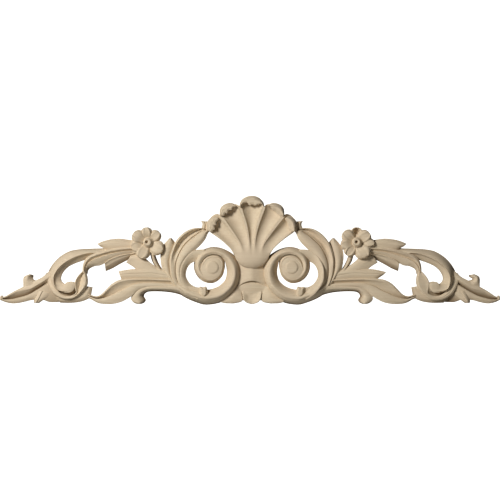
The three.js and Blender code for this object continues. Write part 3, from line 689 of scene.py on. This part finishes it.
def tall_leaf(side):
    """Hollow blade folded along its vein, with a two-pointed bud on its tip that touches the shell,
    and the plain leaf standing in front of it."""
    plain = [[0, 0.8, 0.04], [0.1, 0.92], [0.3, 0.9], [0.46, 0.84], [0.5, 0.7],
             [0.55, 0.84, 0.05], [0.85, 0.98, 0.02], [1, 0.84]]
    folded = [[0, 0.84, 0.02], [0.07, 0.88, -0.02], [0.26, 0.48, -0.05], [0.46, 0.68], [0.5, 0.58],
              [0.55, 0.82, 0.05], [0.85, 0.98, 0.02], [1, 0.84]]
    blade = strip(side, [
        [56, 5, 48, 8, 0.78, 0.4],
        [68, 11, 58, 11.5, 0.76, 0.4],
        [76.5, 18.5, 65.5, 17, 0.76, 0.42],
        [80.2, 27, 69.7, 24.5, 0.76, 0.44],
        [81.8, 36, 70.7, 32.5, 0.76, 0.47],
        [82, 45, 69, 40, 0.76, 0.48],
        [79.8, 53.8, 64.5, 47, 0.78, 0.46],
        [75.8, 62.8, 58.5, 53, 0.78, 0.44],
        [69, 70.4, 52, 59, 0.78, 0.45],
        [61, 75, 47, 65.2, 0.76, 0.46],
        [53, 76.2, 44.4, 71, 0.72, 0.46],
        [46.5, 75.2, 42.6, 73.2, 0.64],
    ], plain, plain, plain, folded, folded, folded)
    bud = strip(side, [
        [52, 73, 42, 73, 0.52],
        [49.7, 77.5, 42.5, 77, 0.52],
        [49.2, 80.5, 43.5, 80.5, 0.52],
        [50.7, 83.3, 44.7, 82.9, 0.48],
    ], [[0, 0.86, 0.04], [0.3, 1], [0.5, 0.84], [0.7, 1, 0.04], [1, 0.86]])
    front_leaf = strip(side, [
        [64, 7, 60, 8, 0.62],
        [74, 13.5, 68, 13, 0.62],
        [80.5, 20.5, 75, 20, 0.62],
        [85.5, 28.5, 79, 28, 0.62],
        [89.4, 35.5, 80.5, 36, 0.61],
        [91, 44, 80.5, 44, 0.6],
        [91, 51, 78.4, 51, 0.6],
        [88.8, 58, 77, 57.4, 0.57],
        [85, 63, 77.6, 62.2, 0.53],
        [81.6, 66.4, 80.6, 66.1, 0.46],
    ], [[0, 0.74, 0.1], [0.55, 1, 0.06], [1, 0.6]])
    return [blade, bud, front_leaf]


# Volutes

VOLUTE_CENTRE = np.array([39.0, 36.0])
# The band as [angle, outer radius, inner radius, height]. The angle is counted from straight down,
# towards the shell.
VOLUTE_TURNS = [
    [-76, 45.5, 35, 0.5],
    [-64, 44, 32, 0.7],
    [-52, 41.8, 28.6, 0.85],
    [-40, 39.6, 25.8, 0.92],
    [-26, 37.8, 23.8, 0.94],
    [-10, 36.9, 22, 0.94],
    [15, 34.7, 19.4, 0.94],
    [40, 32, 17.6, 0.94],
    [60, 30.3, 15.8, 0.93],
    [80, 28.9, 14.4, 0.93],
    [100, 27.3, 13.6, 0.92],
    [120, 24.7, 14.2, 0.92],
    [140, 22.5, 14.8, 0.91],
    [160, 21.4, 14.6, 0.91],
    [180, 21, 14.2, 0.9],
    [200, 20.6, 13.9, 0.9],
    [220, 20.6, 13.5, 0.89],
    [240, 20, 13, 0.88],
    [260, 19.1, 12.4, 0.87],
    [280, 18.2, 11.6, 0.86],
    [300, 17.2, 10.9, 0.85],
    [320, 16.3, 10.3, 0.83],
    [340, 15.4, 10, 0.8],
    [360, 14.6, 9.9, 0.77],
    [380, 13.3, 9.9, 0.73],
    [396, 12.4, 10.1, 0.68],
]
# The eye's rim as [radius, height, bulge], evenly spaced from straight down towards the shell.
EYE_RIM = [
    [14.5, 0.48, 0.1],
    [12.9, 0.48, 0.1],
    [11.8, 0.48, 0.1],
    [11.2, 0.5, 0.1],
    [12, 0.5, 0.12],
    [14, 0.5, 0.14],
    [14.6, 0.5, 0.14],
    [14.2, 0.5, 0.14],
    [13.9, 0.5, 0.14],
    [13.6, 0.5, 0.14],
    [13.8, 0.5, 0.12],
    [15.2, 0.5, 0.1],
    [16.1, 0.52, 0.1],
    [15.6, 0.5, 0.1],
]
EYE_CENTRE = [38.4, 36]
# The flat disc carved on the eye: its centre and its radius.
DISC_CENTRE = [39.6, 36.8]
DISC_RADIUS = 6.2


def around_volute(degrees, radius):
    """Sheet places at angles and radii round the volute's centre."""
    angle = np.radians(degrees)
    arm = np.stack([np.sin(angle), np.cos(angle)], -1)
    return VOLUTE_CENTRE - arm * np.reshape(radius, (-1, 1))


def volute(side):
    """Rounded band that winds in round its eye and fades into it, a flat disc on the eye, a bud on
    the band's inner edge and the collar that ties the volute to the tall leaf."""
    turns = np.array(VOLUTE_TURNS)
    # The band's ridge moves towards its inner edge as the band rises beside the shell.
    ridge = np.interp(turns[:, 0], [60, 160], [0.46, 0.62])
    full = [[0, 0.16, 0.14], [0.3, 0.86, 0.06], [0.54, 1, 0.08], [1, 0.46]]
    winding = [[0, 0.26, 0.14], [0.24, 0.84, 0.03], [0.52, 1, 0.02], [1, 0.9]]
    merging = [[0, 0.36, 0.14], [0.24, 0.84, 0.03], [0.52, 0.98, 0.02], [1, 1]]
    band = strip(side, np.column_stack([
        around_volute(turns[:, 0], turns[:, 1]),
        around_volute(turns[:, 0], turns[:, 2]),
        turns[:, 3],
        ridge,
    ]), *[full] * 4, *[winding] * 3, merging, merging)
    rim = np.array(EYE_RIM)
    angles = 360 * np.arange(len(rim)) / len(rim)
    eye = mound(side, EYE_CENTRE, np.column_stack([around_volute(angles, rim[:, 0]), rim[:, 1:]]),
                [[0, 0.87], [0.4, 0.87, 0.01], [0.78, 0.82, 0.01], [1, 0.5]])
    disc = mound(side, DISC_CENTRE, ring_around(DISC_CENTRE, DISC_RADIUS),
                 [[0, 0.925], [0.88, 0.925], [1, 0.9]])
    bud = mound(side, [48, 12], [
        [52.4, 15.6], [51.6, 17.2], [49, 16.6], [46.4, 17.2], [45, 15.6],
        [44.6, 12], [45, 8.6], [48, 6.5], [51.4, 9],
    ], [[0, 1], [0.6, 0.99, 0.01], [1, 0.86]])
    # The right collar stands proud of the tall leaf, and the left one runs into it.
    proud = 0 if side == LEFT else 0.25
    collar = strip(side, [
        [47, 54.5, 47, 40, 0.72],
        [56.5, 53.8, 55.5, 43, 0.7],
        [63, 50, 60.6, 41.4, 0.7],
        [67.6, 44.4, 63.8, 38.2, 0.7 + 0.4 * proud],
        [70.8, 37.8, 65.8, 33.8, 0.71 + 0.8 * proud],
        [71.8, 31, 66.4, 29, 0.72 + proud],
        [71.2, 24, 65, 24.4, 0.73 + proud],
        [68, 17.2, 61.4, 19.6, 0.76 + proud],
        [61.6, 9.6, 55, 16, 0.8 + 0.7 * proud],
        [54, 4.6, 50, 13, 0.84],
    ], [[0, 1, 0.02], [0.4, 0.94, 0.03], [1, 0.68]])
    return [band, eye, disc, bud, collar]


# Shell

# The shell's lines run from rim to foot through the same count of places. Each starts at the
# notch between two lips.
MIDDLE_RIDGE = [
    [11.8, 97], [10.8, 93], [9, 88], [6.3, 80], [4.2, 71.5],
    [3, 63], [2.6, 55], [2.4, 48], [1.9, 42], [1, 36],
]
SIDE_RIDGE = [
    [31.4, 88.6], [29.4, 85], [25.7, 80.4], [20.8, 73.9], [15.4, 66.4],
    [11.6, 60], [9.6, 53], [8.6, 46], [6.4, 40.4], [3, 36.2],
]
SHELL_EDGE = [
    [43.4, 74.4], [41.4, 71.6], [37.4, 68.8], [32.4, 65.2], [26.6, 60.4],
    [21.6, 55.4], [18, 49.5], [15.2, 43.6], [11.2, 39.2], [5, 36.5],
]
# Height of the ridges, how deep the flutes are scooped, and how far the flat fillets beside the
# ridges stand up and reach, at the same places.
SHELL_LIFT = [0.73, 0.75, 0.77, 0.8, 0.83, 0.86, 0.88, 0.89, 0.89, 0.89]
SCOOP = [0.27, 0.28, 0.27, 0.23, 0.16, 0.09, 0.02, 0, 0, 0]
RIDGE_STEP = [0.06, 0.06, 0.06, 0.055, 0.045, 0.025, 0, 0, 0, 0]
RIDGE_HALF_WIDTH = [1.4, 1.4, 1.3, 1.2, 1, 0.8, 0.8, 0.8, 0.8, 0.8]
# How far the flutes run up past the straight line between two notches, under the lips.
RIM_BOW = [6.5, 4.6, 3, 1.6, 0.6, 0, 0, 0, 0, 0]
# Steps between two places along the shell or a lip, facets across a flute, shares of a flute where
# closer facets stand beside its ridges, and the width of a fillet's slope.
SHELL_STEPS = 8
FLUTE_FACETS = 18
BESIDE_RIDGES = [0.03, 0.08, 0.92, 0.97]
FILLET_SLOPE = 0.4
LIP_LIFT = 0.985
# The boss as an ellipse of [out, up]: its centre, its radii, and how it swells and falls away.
BOSS_CENTRE = np.array([0, 51])
BOSS_RADII = np.array([19, 15.6])
BOSS_SWELL = 0.07
BOSS_FALL = 0.3


def boss_height(spot):
    """What the boss adds to the height at sheet places: a paraboloid over its ellipse, whose lower
    half falls by the fourth power of the way to the rim times the root of the way down."""
    reach = np.linalg.norm((spot - BOSS_CENTRE) / BOSS_RADII, axis=2)
    below = np.clip((BOSS_CENTRE[1] - spot[..., 1]) / BOSS_RADII[1], 0, 1) ** 0.5
    fall = BOSS_FALL * below * np.clip(reach, 0, 1) ** 4
    return BOSS_SWELL * np.clip(1 - reach ** 2, 0, None) - fall


def shell_fan():
    """Whole shell and boss as one sheet. Along it, six lines are smooth curves from rim to foot;
    across it, a place runs straight from line to line, bowed up as half an ellipse near the rim.
    Height = ridge height, less a parabola scooped between two lines, plus a flat fillet beside each
    ridge line, plus the boss."""
    size = sizes()
    places = np.linspace(0, len(MIDDLE_RIDGE) - 1, (len(MIDDLE_RIDGE) - 1) * SHELL_STEPS + 1)
    half = [smooth_rows(line, places) for line in (SHELL_EDGE, SIDE_RIDGE, MIDDLE_RIDGE)]
    mirrored = [line * [-1, 1] for line in half]
    lines = np.array([*half, *mirrored[::-1]])
    profile = np.column_stack([SHELL_LIFT, SCOOP, RIDGE_STEP, RIDGE_HALF_WIDTH, RIM_BOW])
    lift, scoop, step, fillet, bow = smooth_rows(profile, places).T[..., None]

    flutes = len(lines) - 1
    share = np.linspace(0, 1, FLUTE_FACETS + 1)
    fine = np.unique(np.concatenate([share, BESIDE_RIDGES]))
    across = np.unique((np.arange(flutes)[:, None] + fine).ravel())
    whole = np.minimum(np.floor(across).astype(int), flutes - 1)
    t = across - whole
    low, high = lines[whole], lines[whole + 1]
    spot = (low + (high - low) * t[:, None, None]).transpose(1, 0, 2)
    axis = (low + high)[:, 0] - (low + high)[:, -1]
    axis = axis / np.linalg.norm(axis, axis=1, keepdims=True)
    spot = spot + (bow * np.sqrt(4 * t * (1 - t)))[..., None] * axis

    gap = np.linalg.norm(high - low, axis=2).T
    from_line = np.minimum(t, 1 - t) * gap
    inner = (across > 0.5) & (across < flutes - 0.5)
    on_fillet = np.clip((fillet - from_line) / FILLET_SLOPE + 0.5, 0, 1) * inner
    hollow = np.clip((t - fillet / gap) / (1 - 2 * fillet / gap), 0, 1)
    height = lift - scoop * 4 * hollow * (1 - hollow) + step * on_fillet + boss_height(spot)
    from_edges = [np.linalg.norm(spot - edge, axis=2) for edge in (spot[:, :1], spot[:, -1:])]
    unit = size.length / SHEET_LENGTH
    toward = height * size.depth - rounding(np.minimum(*from_edges) * unit, size.edge_radius)
    front = placed(LEFT, spot[..., 0], spot[..., 1], toward)
    return slab_between(front, placed(LEFT, spot[..., 0], spot[..., 1], -size.depth))


def lip(side, rim, notches, teeth, bite, inner_height=0.95):
    """Rolled lip between a smooth rim and a notched edge. The edge is bitten back towards the rim by
    a share of the lip's width, in teeth: half, plus half the tanh of three times a sine, which makes
    their sides steep, times a slower wave between 0.4 and 1, which makes them uneven."""
    places = np.linspace(0, len(rim) - 1, (len(rim) - 1) * SHELL_STEPS + 1)
    outer, inner = smooth_rows(rim, places), smooth_rows(notches, places)
    phase = teeth * places / (len(rim) - 1)
    steep = np.tanh(3 * np.sin(2 * math.pi * phase))
    uneven = 0.7 + 0.3 * np.sin(5 * phase)
    tooth = 0.5 + 0.5 * steep * uneven
    inner = inner + (outer - inner) * (bite * tooth)[:, None]
    stations = np.column_stack([outer, inner, np.full(len(places), LIP_LIFT)])
    section = [[0, 0.7, 0.12], [0.55, 1, 0.03], [1, inner_height]]
    return strip(side, stations, section, steps=1, soft=0.6)


def shell():
    """Fan of scooped flutes between ridges, gathered into a boss, under five rolled lips. The right
    lips are smoother than the left ones."""
    lips = [lip(LEFT, [
        [12.2, 97], [11.8, 100.6], [9.8, 104.4], [6, 106.9], [2, 108],
        [-2, 108], [-6, 106.7], [-9.2, 104.2], [-11.4, 101], [-12, 97.4],
    ], [
        [11.2, 96.8], [9.6, 99.8], [8, 101], [5, 100.6], [2.4, 99.2],
        [0, 98.2], [-2.4, 99.2], [-5, 98.8], [-7.6, 100.4], [-9.6, 100.2],
    ], 4, 0.24)]
    for side, bite, inner_height in ((LEFT, 0.22, 0.95), (RIGHT, 0.06, 0.84)):
        lips.append(lip(side, [
            [32, 88.4], [32, 93.4], [30.2, 97.4], [26.4, 100],
            [22, 101], [18.6, 100.4], [16, 98.6],
        ], [
            [30.6, 87.8], [28.4, 88.4], [26, 89.8], [23.8, 92.4],
            [20.8, 94.4], [18.4, 96.8], [15.8, 97.8],
        ], 4, bite, inner_height))
        lips.append(lip(side, [
            [44.4, 73.6], [44.8, 79.5], [43.2, 84], [39.8, 86.8], [35.4, 87.8],
        ], [
            [38.8, 72], [37, 75.2], [36.2, 78.6], [35, 82], [33.2, 86],
        ], 3, bite, inner_height))
    return [shell_fan(), *lips]


# Foot

def foot():
    """Panel between the volutes, folded down its middle and arched along its lower edge, over a
    palmette of one dished lobe between two flat ones."""
    panel = strip(LEFT, [
        [14, 44, 14, 17.6, 0.42],
        [10, 44, 10, 20.6, 0.5],
        [5, 44, 5, 22.8, 0.58],
        [0, 44, 0, 23.6, 0.63],
        [-5, 44, -5, 22.8, 0.54],
        [-10, 44, -10, 20.6, 0.43],
        [-14, 44, -14, 17.6, 0.33],
    ], [[0, 1.06, -0.04], [0.5, 0.98], [1, 1.04]])
    palmette = strip(LEFT, [
        [17, 22, 17, 10, 0.42],
        [10, 25, 10.6, 11, 0.47],
        [5, 27, 5, 11, 0.51],
        [0, 28, 0, 11, 0.52],
        [-5, 27, -5, 11, 0.51],
        [-10, 25, -10.6, 11, 0.47],
        [-17, 22, -17, 10, 0.42],
    ], [[0, 0.3], [0.42, 0.98, 0.02], [1, 0.82]])
    middle_lobe = mound(LEFT, [0, 9], [
        [9.3, 12, 0.46, 0], [8.9, 8, 0.56, 0], [8.2, 4.8, 0.6, 0], [6.2, 2.3, 0.58, 0],
        [3, 0.9, 0.54, 0], [0, 0.4, 0.5, 0], [-3, 0.9, 0.54, 0],
        [-6.2, 2.3, 0.58, 0], [-8.2, 4.8, 0.6, 0], [-8.9, 8, 0.56, 0], [-9.3, 12, 0.46, 0],
        [-6.4, 15.6, 0.34, 0], [0, 17, 0.3, 0], [6.4, 15.6, 0.34, 0],
    ], [[0, 0.38], [0.5, 0.42, -0.02], [1, 0.5]])
    side_lobes = [strip(side, [
        [18, 20, 10, 16, 0.42],
        [22, 14, 10.8, 12, 0.5],
        [27, 7, 10.4, 9, 0.56],
        [31.5, 2.6, 9.6, 4.8, 0.55],
        [27, 0.9, 11.6, 2, 0.5],
        [23, 0.6, 19, 0.5, 0.44],
    ], [[0, 0.8, 0.03], [0.5, 1, 0.03], [1, 0.84]]) for side in SIDES]
    slit_floor = strip(LEFT, [
        [14, 14, 14, 4, 0.2],
        [-14, 14, -14, 4, 0.2],
    ], LEVEL)
    return [panel, palmette, middle_lobe, *side_lobes, slit_floor]


# Materials

# The width of one rosy patch and of one sanding mark, in metres, and how strong the patches are.
PATCH_WIDTH = 0.0714
SANDING_WIDTH = 0.00625
PATCH_STRENGTH = 0.45


def add_node(material, kind, settings=None, **inputs):
    """Node of a kind with its settings, and its inputs given as values or as other sockets. A name
    with a number, such as _6, picks an input by its place."""
    made = material.node_tree.nodes.new(kind)
    for name, value in (settings or {}).items():
        setattr(made, name, value)
    for name, value in inputs.items():
        key = int(name[1:]) if name[0] == "_" else name.replace("_", " ")
        socket = made.inputs[key]
        if isinstance(value, bpy.types.NodeSocket):
            material.node_tree.links.new(value, socket)
        else:
            socket.default_value = value
    return made


def blank_material(name):
    """Material with an empty node tree."""
    material = bpy.data.materials.new(name)
    material.use_nodes = True
    material.node_tree.nodes.clear()
    return material


def mix(material, factor, first, second):
    """Mix of two colours by a factor."""
    return add_node(material, "ShaderNodeMix", {"data_type": "RGBA"},
                    _0=factor, _6=first, _7=second).outputs[2]


def sanded_bare_maple():
    """Bare maple, carved and sanded by hand: pale and matt, with faint straight grain along its
    length, a slightly rosy cast in patches, and painted shade: a darker brown mixed in where the wood
    lies low, near the back, in place of the shade in the recesses."""
    wood = bpy.context.scene.wood_finish
    material = blank_material("Sanded bare maple")
    place = add_node(material, "ShaderNodeTexCoord").outputs["Object"]

    # Real maple grain is under 0.5 mm wide, which is too fine to show, so it is drawn coarser.
    across = 1 / wood.grain_width
    stretched = add_node(material, "ShaderNodeMapping", {"vector_type": "POINT"}, Vector=place,
                         Scale=(1 / wood.grain_length, across, across))
    grain = add_node(material, "ShaderNodeTexNoise", None, Vector=stretched.outputs[0], Scale=1.0,
                     Detail=3.0, Roughness=0.6, Distortion=0.3)
    patches = add_node(material, "ShaderNodeTexNoise", None, Vector=place, Scale=1 / PATCH_WIDTH,
                       Detail=2.0, Roughness=0.5)
    figure = add_node(material, "ShaderNodeMapRange", None, Value=grain.outputs[0],
                      From_Min=0.32, From_Max=0.68)
    cast = add_node(material, "ShaderNodeMapRange", None, Value=patches.outputs[0],
                    From_Min=0.42, From_Max=0.66, To_Max=PATCH_STRENGTH)
    streaks = mix(material, figure.outputs[0], linear(wood.pale), linear(wood.deep))
    toned = mix(material, cast.outputs[0], streaks, linear(wood.rosy))

    # Painted shade: the further back the wood lies, the more it is mixed towards the dark brown, in
    # place of the shade that falls in the recesses.
    height = add_node(material, "ShaderNodeSeparateXYZ", None, Vector=place).outputs["Y"]
    depth = sizes().depth
    painted_shade_mask = add_node(material, "ShaderNodeMapRange", {"interpolation_type": "SMOOTHSTEP"},
                        Value=height, From_Min=-0.4 * depth, From_Max=-0.08 * depth, To_Max=0.95)
    colour = mix(material, painted_shade_mask.outputs[0], toned, linear(wood.recess))

    fibres = add_node(material, "ShaderNodeBump", None, Strength=0.15, Distance=0.00008,
                      Height=grain.outputs[0])
    sanding = add_node(material, "ShaderNodeTexNoise", None, Vector=place, Scale=1 / SANDING_WIDTH,
                       Detail=2.0)
    surface = add_node(material, "ShaderNodeBump", None, Strength=0.35, Distance=0.0005,
                       Height=sanding.outputs[0], Normal=fibres.outputs[0])
    rough = add_node(material, "ShaderNodeMapRange", None, Value=grain.outputs[0],
                     To_Min=0.62, To_Max=0.78)
    shader = add_node(material, "ShaderNodeBsdfPrincipled", None, Base_Color=colour,
                      Roughness=rough.outputs[0], IOR=1.5, Specular_IOR_Level=0.25,
                      Normal=surface.outputs[0])
    add_node(material, "ShaderNodeOutputMaterial", None, Surface=shader.outputs[0])
    return material


def matt_paper(name, colour, glow):
    """Seamless photographer's paper: matt, with an even tone. Glow lifts it to white."""
    material = blank_material(name)
    shader = add_node(material, "ShaderNodeBsdfPrincipled", None, Base_Color=linear(colour),
                      Roughness=0.9, Emission_Color=linear(colour), Emission_Strength=glow)
    add_node(material, "ShaderNodeOutputMaterial", None, Surface=shader.outputs[0])
    return material


# Operators

def carve_pair(forms):
    """The forms that a function gives for each wing, as one group each, named for the function."""
    for side in SIDES:
        carve_group(f"{forms.__name__}_{side}", forms(side))


class CARVING_OT_end_leaves(bpy.types.Operator):
    """Carve the hollow leaf that ends each wing"""
    bl_idname = "carving.end_leaves"
    bl_label = "End Leaves"

    def execute(self, context):
        carve_pair(end_leaf)
        return {"FINISHED"}


class CARVING_OT_outer_scrolls(bpy.types.Operator):
    """Carve the C scroll of each wing, with its knob and wrapped leaf"""
    bl_idname = "carving.outer_scrolls"
    bl_label = "Outer Scrolls"

    def execute(self, context):
        carve_pair(outer_scroll)
        return {"FINISHED"}


class CARVING_OT_sprays(bpy.types.Operator):
    """Carve the three leaves that sweep out from each flower"""
    bl_idname = "carving.sprays"
    bl_label = "Sprays"

    def execute(self, context):
        carve_pair(spray)
        return {"FINISHED"}


class CARVING_OT_flowers(bpy.types.Operator):
    """Carve the flowers and their stems"""
    bl_idname = "carving.flowers"
    bl_label = "Flowers"

    def execute(self, context):
        carve_pair(flower)
        return {"FINISHED"}


class CARVING_OT_lower_leaves(bpy.types.Operator):
    """Carve the leaflets, the long leaf and the hooked branch of each wing"""
    bl_idname = "carving.lower_leaves"
    bl_label = "Lower Leaves"

    def execute(self, context):
        carve_pair(lower_leaves)
        return {"FINISHED"}


class CARVING_OT_tall_leaves(bpy.types.Operator):
    """Carve the tall folded leaf beside the shell and the leaf in front of it"""
    bl_idname = "carving.tall_leaves"
    bl_label = "Tall Leaves"

    def execute(self, context):
        carve_pair(tall_leaf)
        return {"FINISHED"}


class CARVING_OT_volutes(bpy.types.Operator):
    """Carve the two volutes with their eyes and collars"""
    bl_idname = "carving.volutes"
    bl_label = "Volutes"

    def execute(self, context):
        carve_pair(volute)
        return {"FINISHED"}


class CARVING_OT_shell(bpy.types.Operator):
    """Carve the fluted shell with its boss and rolled lips"""
    bl_idname = "carving.shell"
    bl_label = "Shell"

    def execute(self, context):
        carve_group("shell", shell())
        return {"FINISHED"}


class CARVING_OT_foot(bpy.types.Operator):
    """Carve the panel and the palmette under the shell"""
    bl_idname = "carving.foot"
    bl_label = "Foot"

    def execute(self, context):
        carve_group("foot", foot())
        return {"FINISHED"}


class CARVING_OT_join(bpy.types.Operator):
    """Join the carved forms into one piece, plane its back flat and finish the wood"""
    bl_idname = "carving.join"
    bl_label = "Join and Finish"

    # Creases sharper than this stay crisp.
    crease = math.radians(34)

    def execute(self, context):
        forms = [o for o in context.scene.objects if o.name.startswith(FORM)]
        if not forms:
            raise RuntimeError("carve the forms before joining them")
        whole = combined(forms[0], forms[1:], "UNION")
        size = sizes()
        back = np.array([[[x * size.length, 0, z * size.height] for z in (-1, 1)] for x in (-1, 1)])
        behind = slab_between(back, back + [0, 4 * size.depth, 0])
        combined(whole, [mesh_object("planed_off", *behind)], "DIFFERENCE")
        whole.name = PIECE
        whole.data.name = PIECE
        whole.data.shade_smooth()
        whole.data.set_sharp_from_angle(angle=self.crease)
        whole.data.materials.clear()
        whole.data.materials.append(sanded_bare_maple())
        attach(whole, "root")
        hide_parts(CAD_NODE)
        return {"FINISHED"}


def add_lamp(name, place, target, size, power):
    """Square soft lamp at a place, turned to face a target."""
    data = bpy.data.lights.new(name, "AREA")
    data.size, data.energy = size, power
    lamp = bpy.data.objects.new(name, data)
    lamp.location = place
    lamp.rotation_euler = (Vector(target) - Vector(place)).to_track_quat("-Z", "Y").to_euler()
    bpy.context.scene.collection.objects.link(lamp)


class CARVING_OT_stage(bpy.types.Operator):
    """Set up the paper floor, the backdrop, the lamps and the camera"""
    bl_idname = "carving.stage"
    bl_label = "Studio"

    floor_level = -1.2
    backdrop_behind = 5.8
    backdrop_glow = 1.4
    paper_width = 14.0
    key_place, key_size = (-1.3, -1.7, 0.9), 0.5
    fill_place, fill_size = (1.6, -2.2, 0.2), 1.6
    room_colour = "#f4f1ea"
    room_light = 0.045
    sensor = 36.0
    # The leaf tips touch both sides of the picture.
    seen_width = 0.7085
    eye_above = 0.0004

    def execute(self, context):
        studio = context.scene.studio_setup
        low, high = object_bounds()
        middle = (low + high) / 2
        half, level, far = self.paper_width / 2, self.floor_level, self.backdrop_behind
        square = np.array([[0, 1, 2, 3]])
        floor = mesh_object("paper_floor", np.array([
            [-half, -half, level], [half, -half, level], [half, far, level], [-half, far, level],
        ]), square)
        floor.data.materials.append(matt_paper("Matt paper floor", studio.paper, 0.0))
        wall = mesh_object("paper_backdrop", np.array([
            [-half, far, level], [half, far, level], [half, far, half], [-half, far, half],
        ]), square)
        wall.data.materials.append(matt_paper("Lit paper backdrop", studio.paper, self.backdrop_glow))
        # The backdrop glows to be white, but must not light the carving's sides from behind.
        wall.visible_diffuse = False
        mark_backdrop(floor, wall)

        add_lamp("key_lamp", self.key_place, middle, self.key_size, studio.key_power)
        add_lamp("fill_lamp", self.fill_place, middle, self.fill_size, studio.fill_power)
        world = bpy.data.worlds.new("Studio room")
        world.use_nodes = True
        background = world.node_tree.nodes["Background"].inputs
        background["Color"].default_value = linear(self.room_colour)
        background["Strength"].default_value = self.room_light
        context.scene.world = world

        camera = bpy.data.cameras.new("front_camera")
        camera.sensor_width = self.sensor
        camera.lens = self.sensor * studio.distance / self.seen_width
        eye = bpy.data.objects.new("front_camera", camera)
        eye.location = (middle.x, low.y - studio.distance, middle.z + self.eye_above)
        eye.rotation_euler = (math.pi / 2, 0, 0)
        context.scene.collection.objects.link(eye)
        context.scene.camera = eye
        context.scene.view_settings.view_transform = "Standard"
        return {"FINISHED"}


CARVING_STEPS = ("end_leaves", "outer_scrolls", "sprays", "flowers", "lower_leaves", "tall_leaves",
                 "volutes", "shell", "foot", "join", "stage")


class CARVING_PT_panel(bpy.types.Panel):
    """Lists the carving's steps in the order they are made"""
    bl_idname = "CARVING_PT_panel"
    bl_label = "Carved Wood Applique"
    bl_space_type = "VIEW_3D"
    bl_region_type = "UI"
    bl_category = "Applique"

    def draw(self, context):
        for step in CARVING_STEPS:
            self.layout.operator(f"carving.{step}")


SETTINGS = {"carving_sizes": CarvingSizes, "wood_finish": WoodFinish, "studio_setup": StudioSetup}
CLASSES = (*SETTINGS.values(), CARVING_OT_end_leaves, CARVING_OT_outer_scrolls, CARVING_OT_sprays,
           CARVING_OT_flowers, CARVING_OT_lower_leaves, CARVING_OT_tall_leaves, CARVING_OT_volutes,
           CARVING_OT_shell, CARVING_OT_foot, CARVING_OT_join, CARVING_OT_stage, CARVING_PT_panel)


def register():
    for cls in CLASSES:
        bpy.utils.register_class(cls)
    for name, group in SETTINGS.items():
        setattr(bpy.types.Scene, name, bpy.props.PointerProperty(type=group))


def unregister():
    for name in SETTINGS:
        delattr(bpy.types.Scene, name)
    for cls in reversed(CLASSES):
        bpy.utils.unregister_class(cls)


def main():
    register()
    for step in CARVING_STEPS:
        getattr(bpy.ops.carving, step)()


if __name__ == "__main__":
    main()
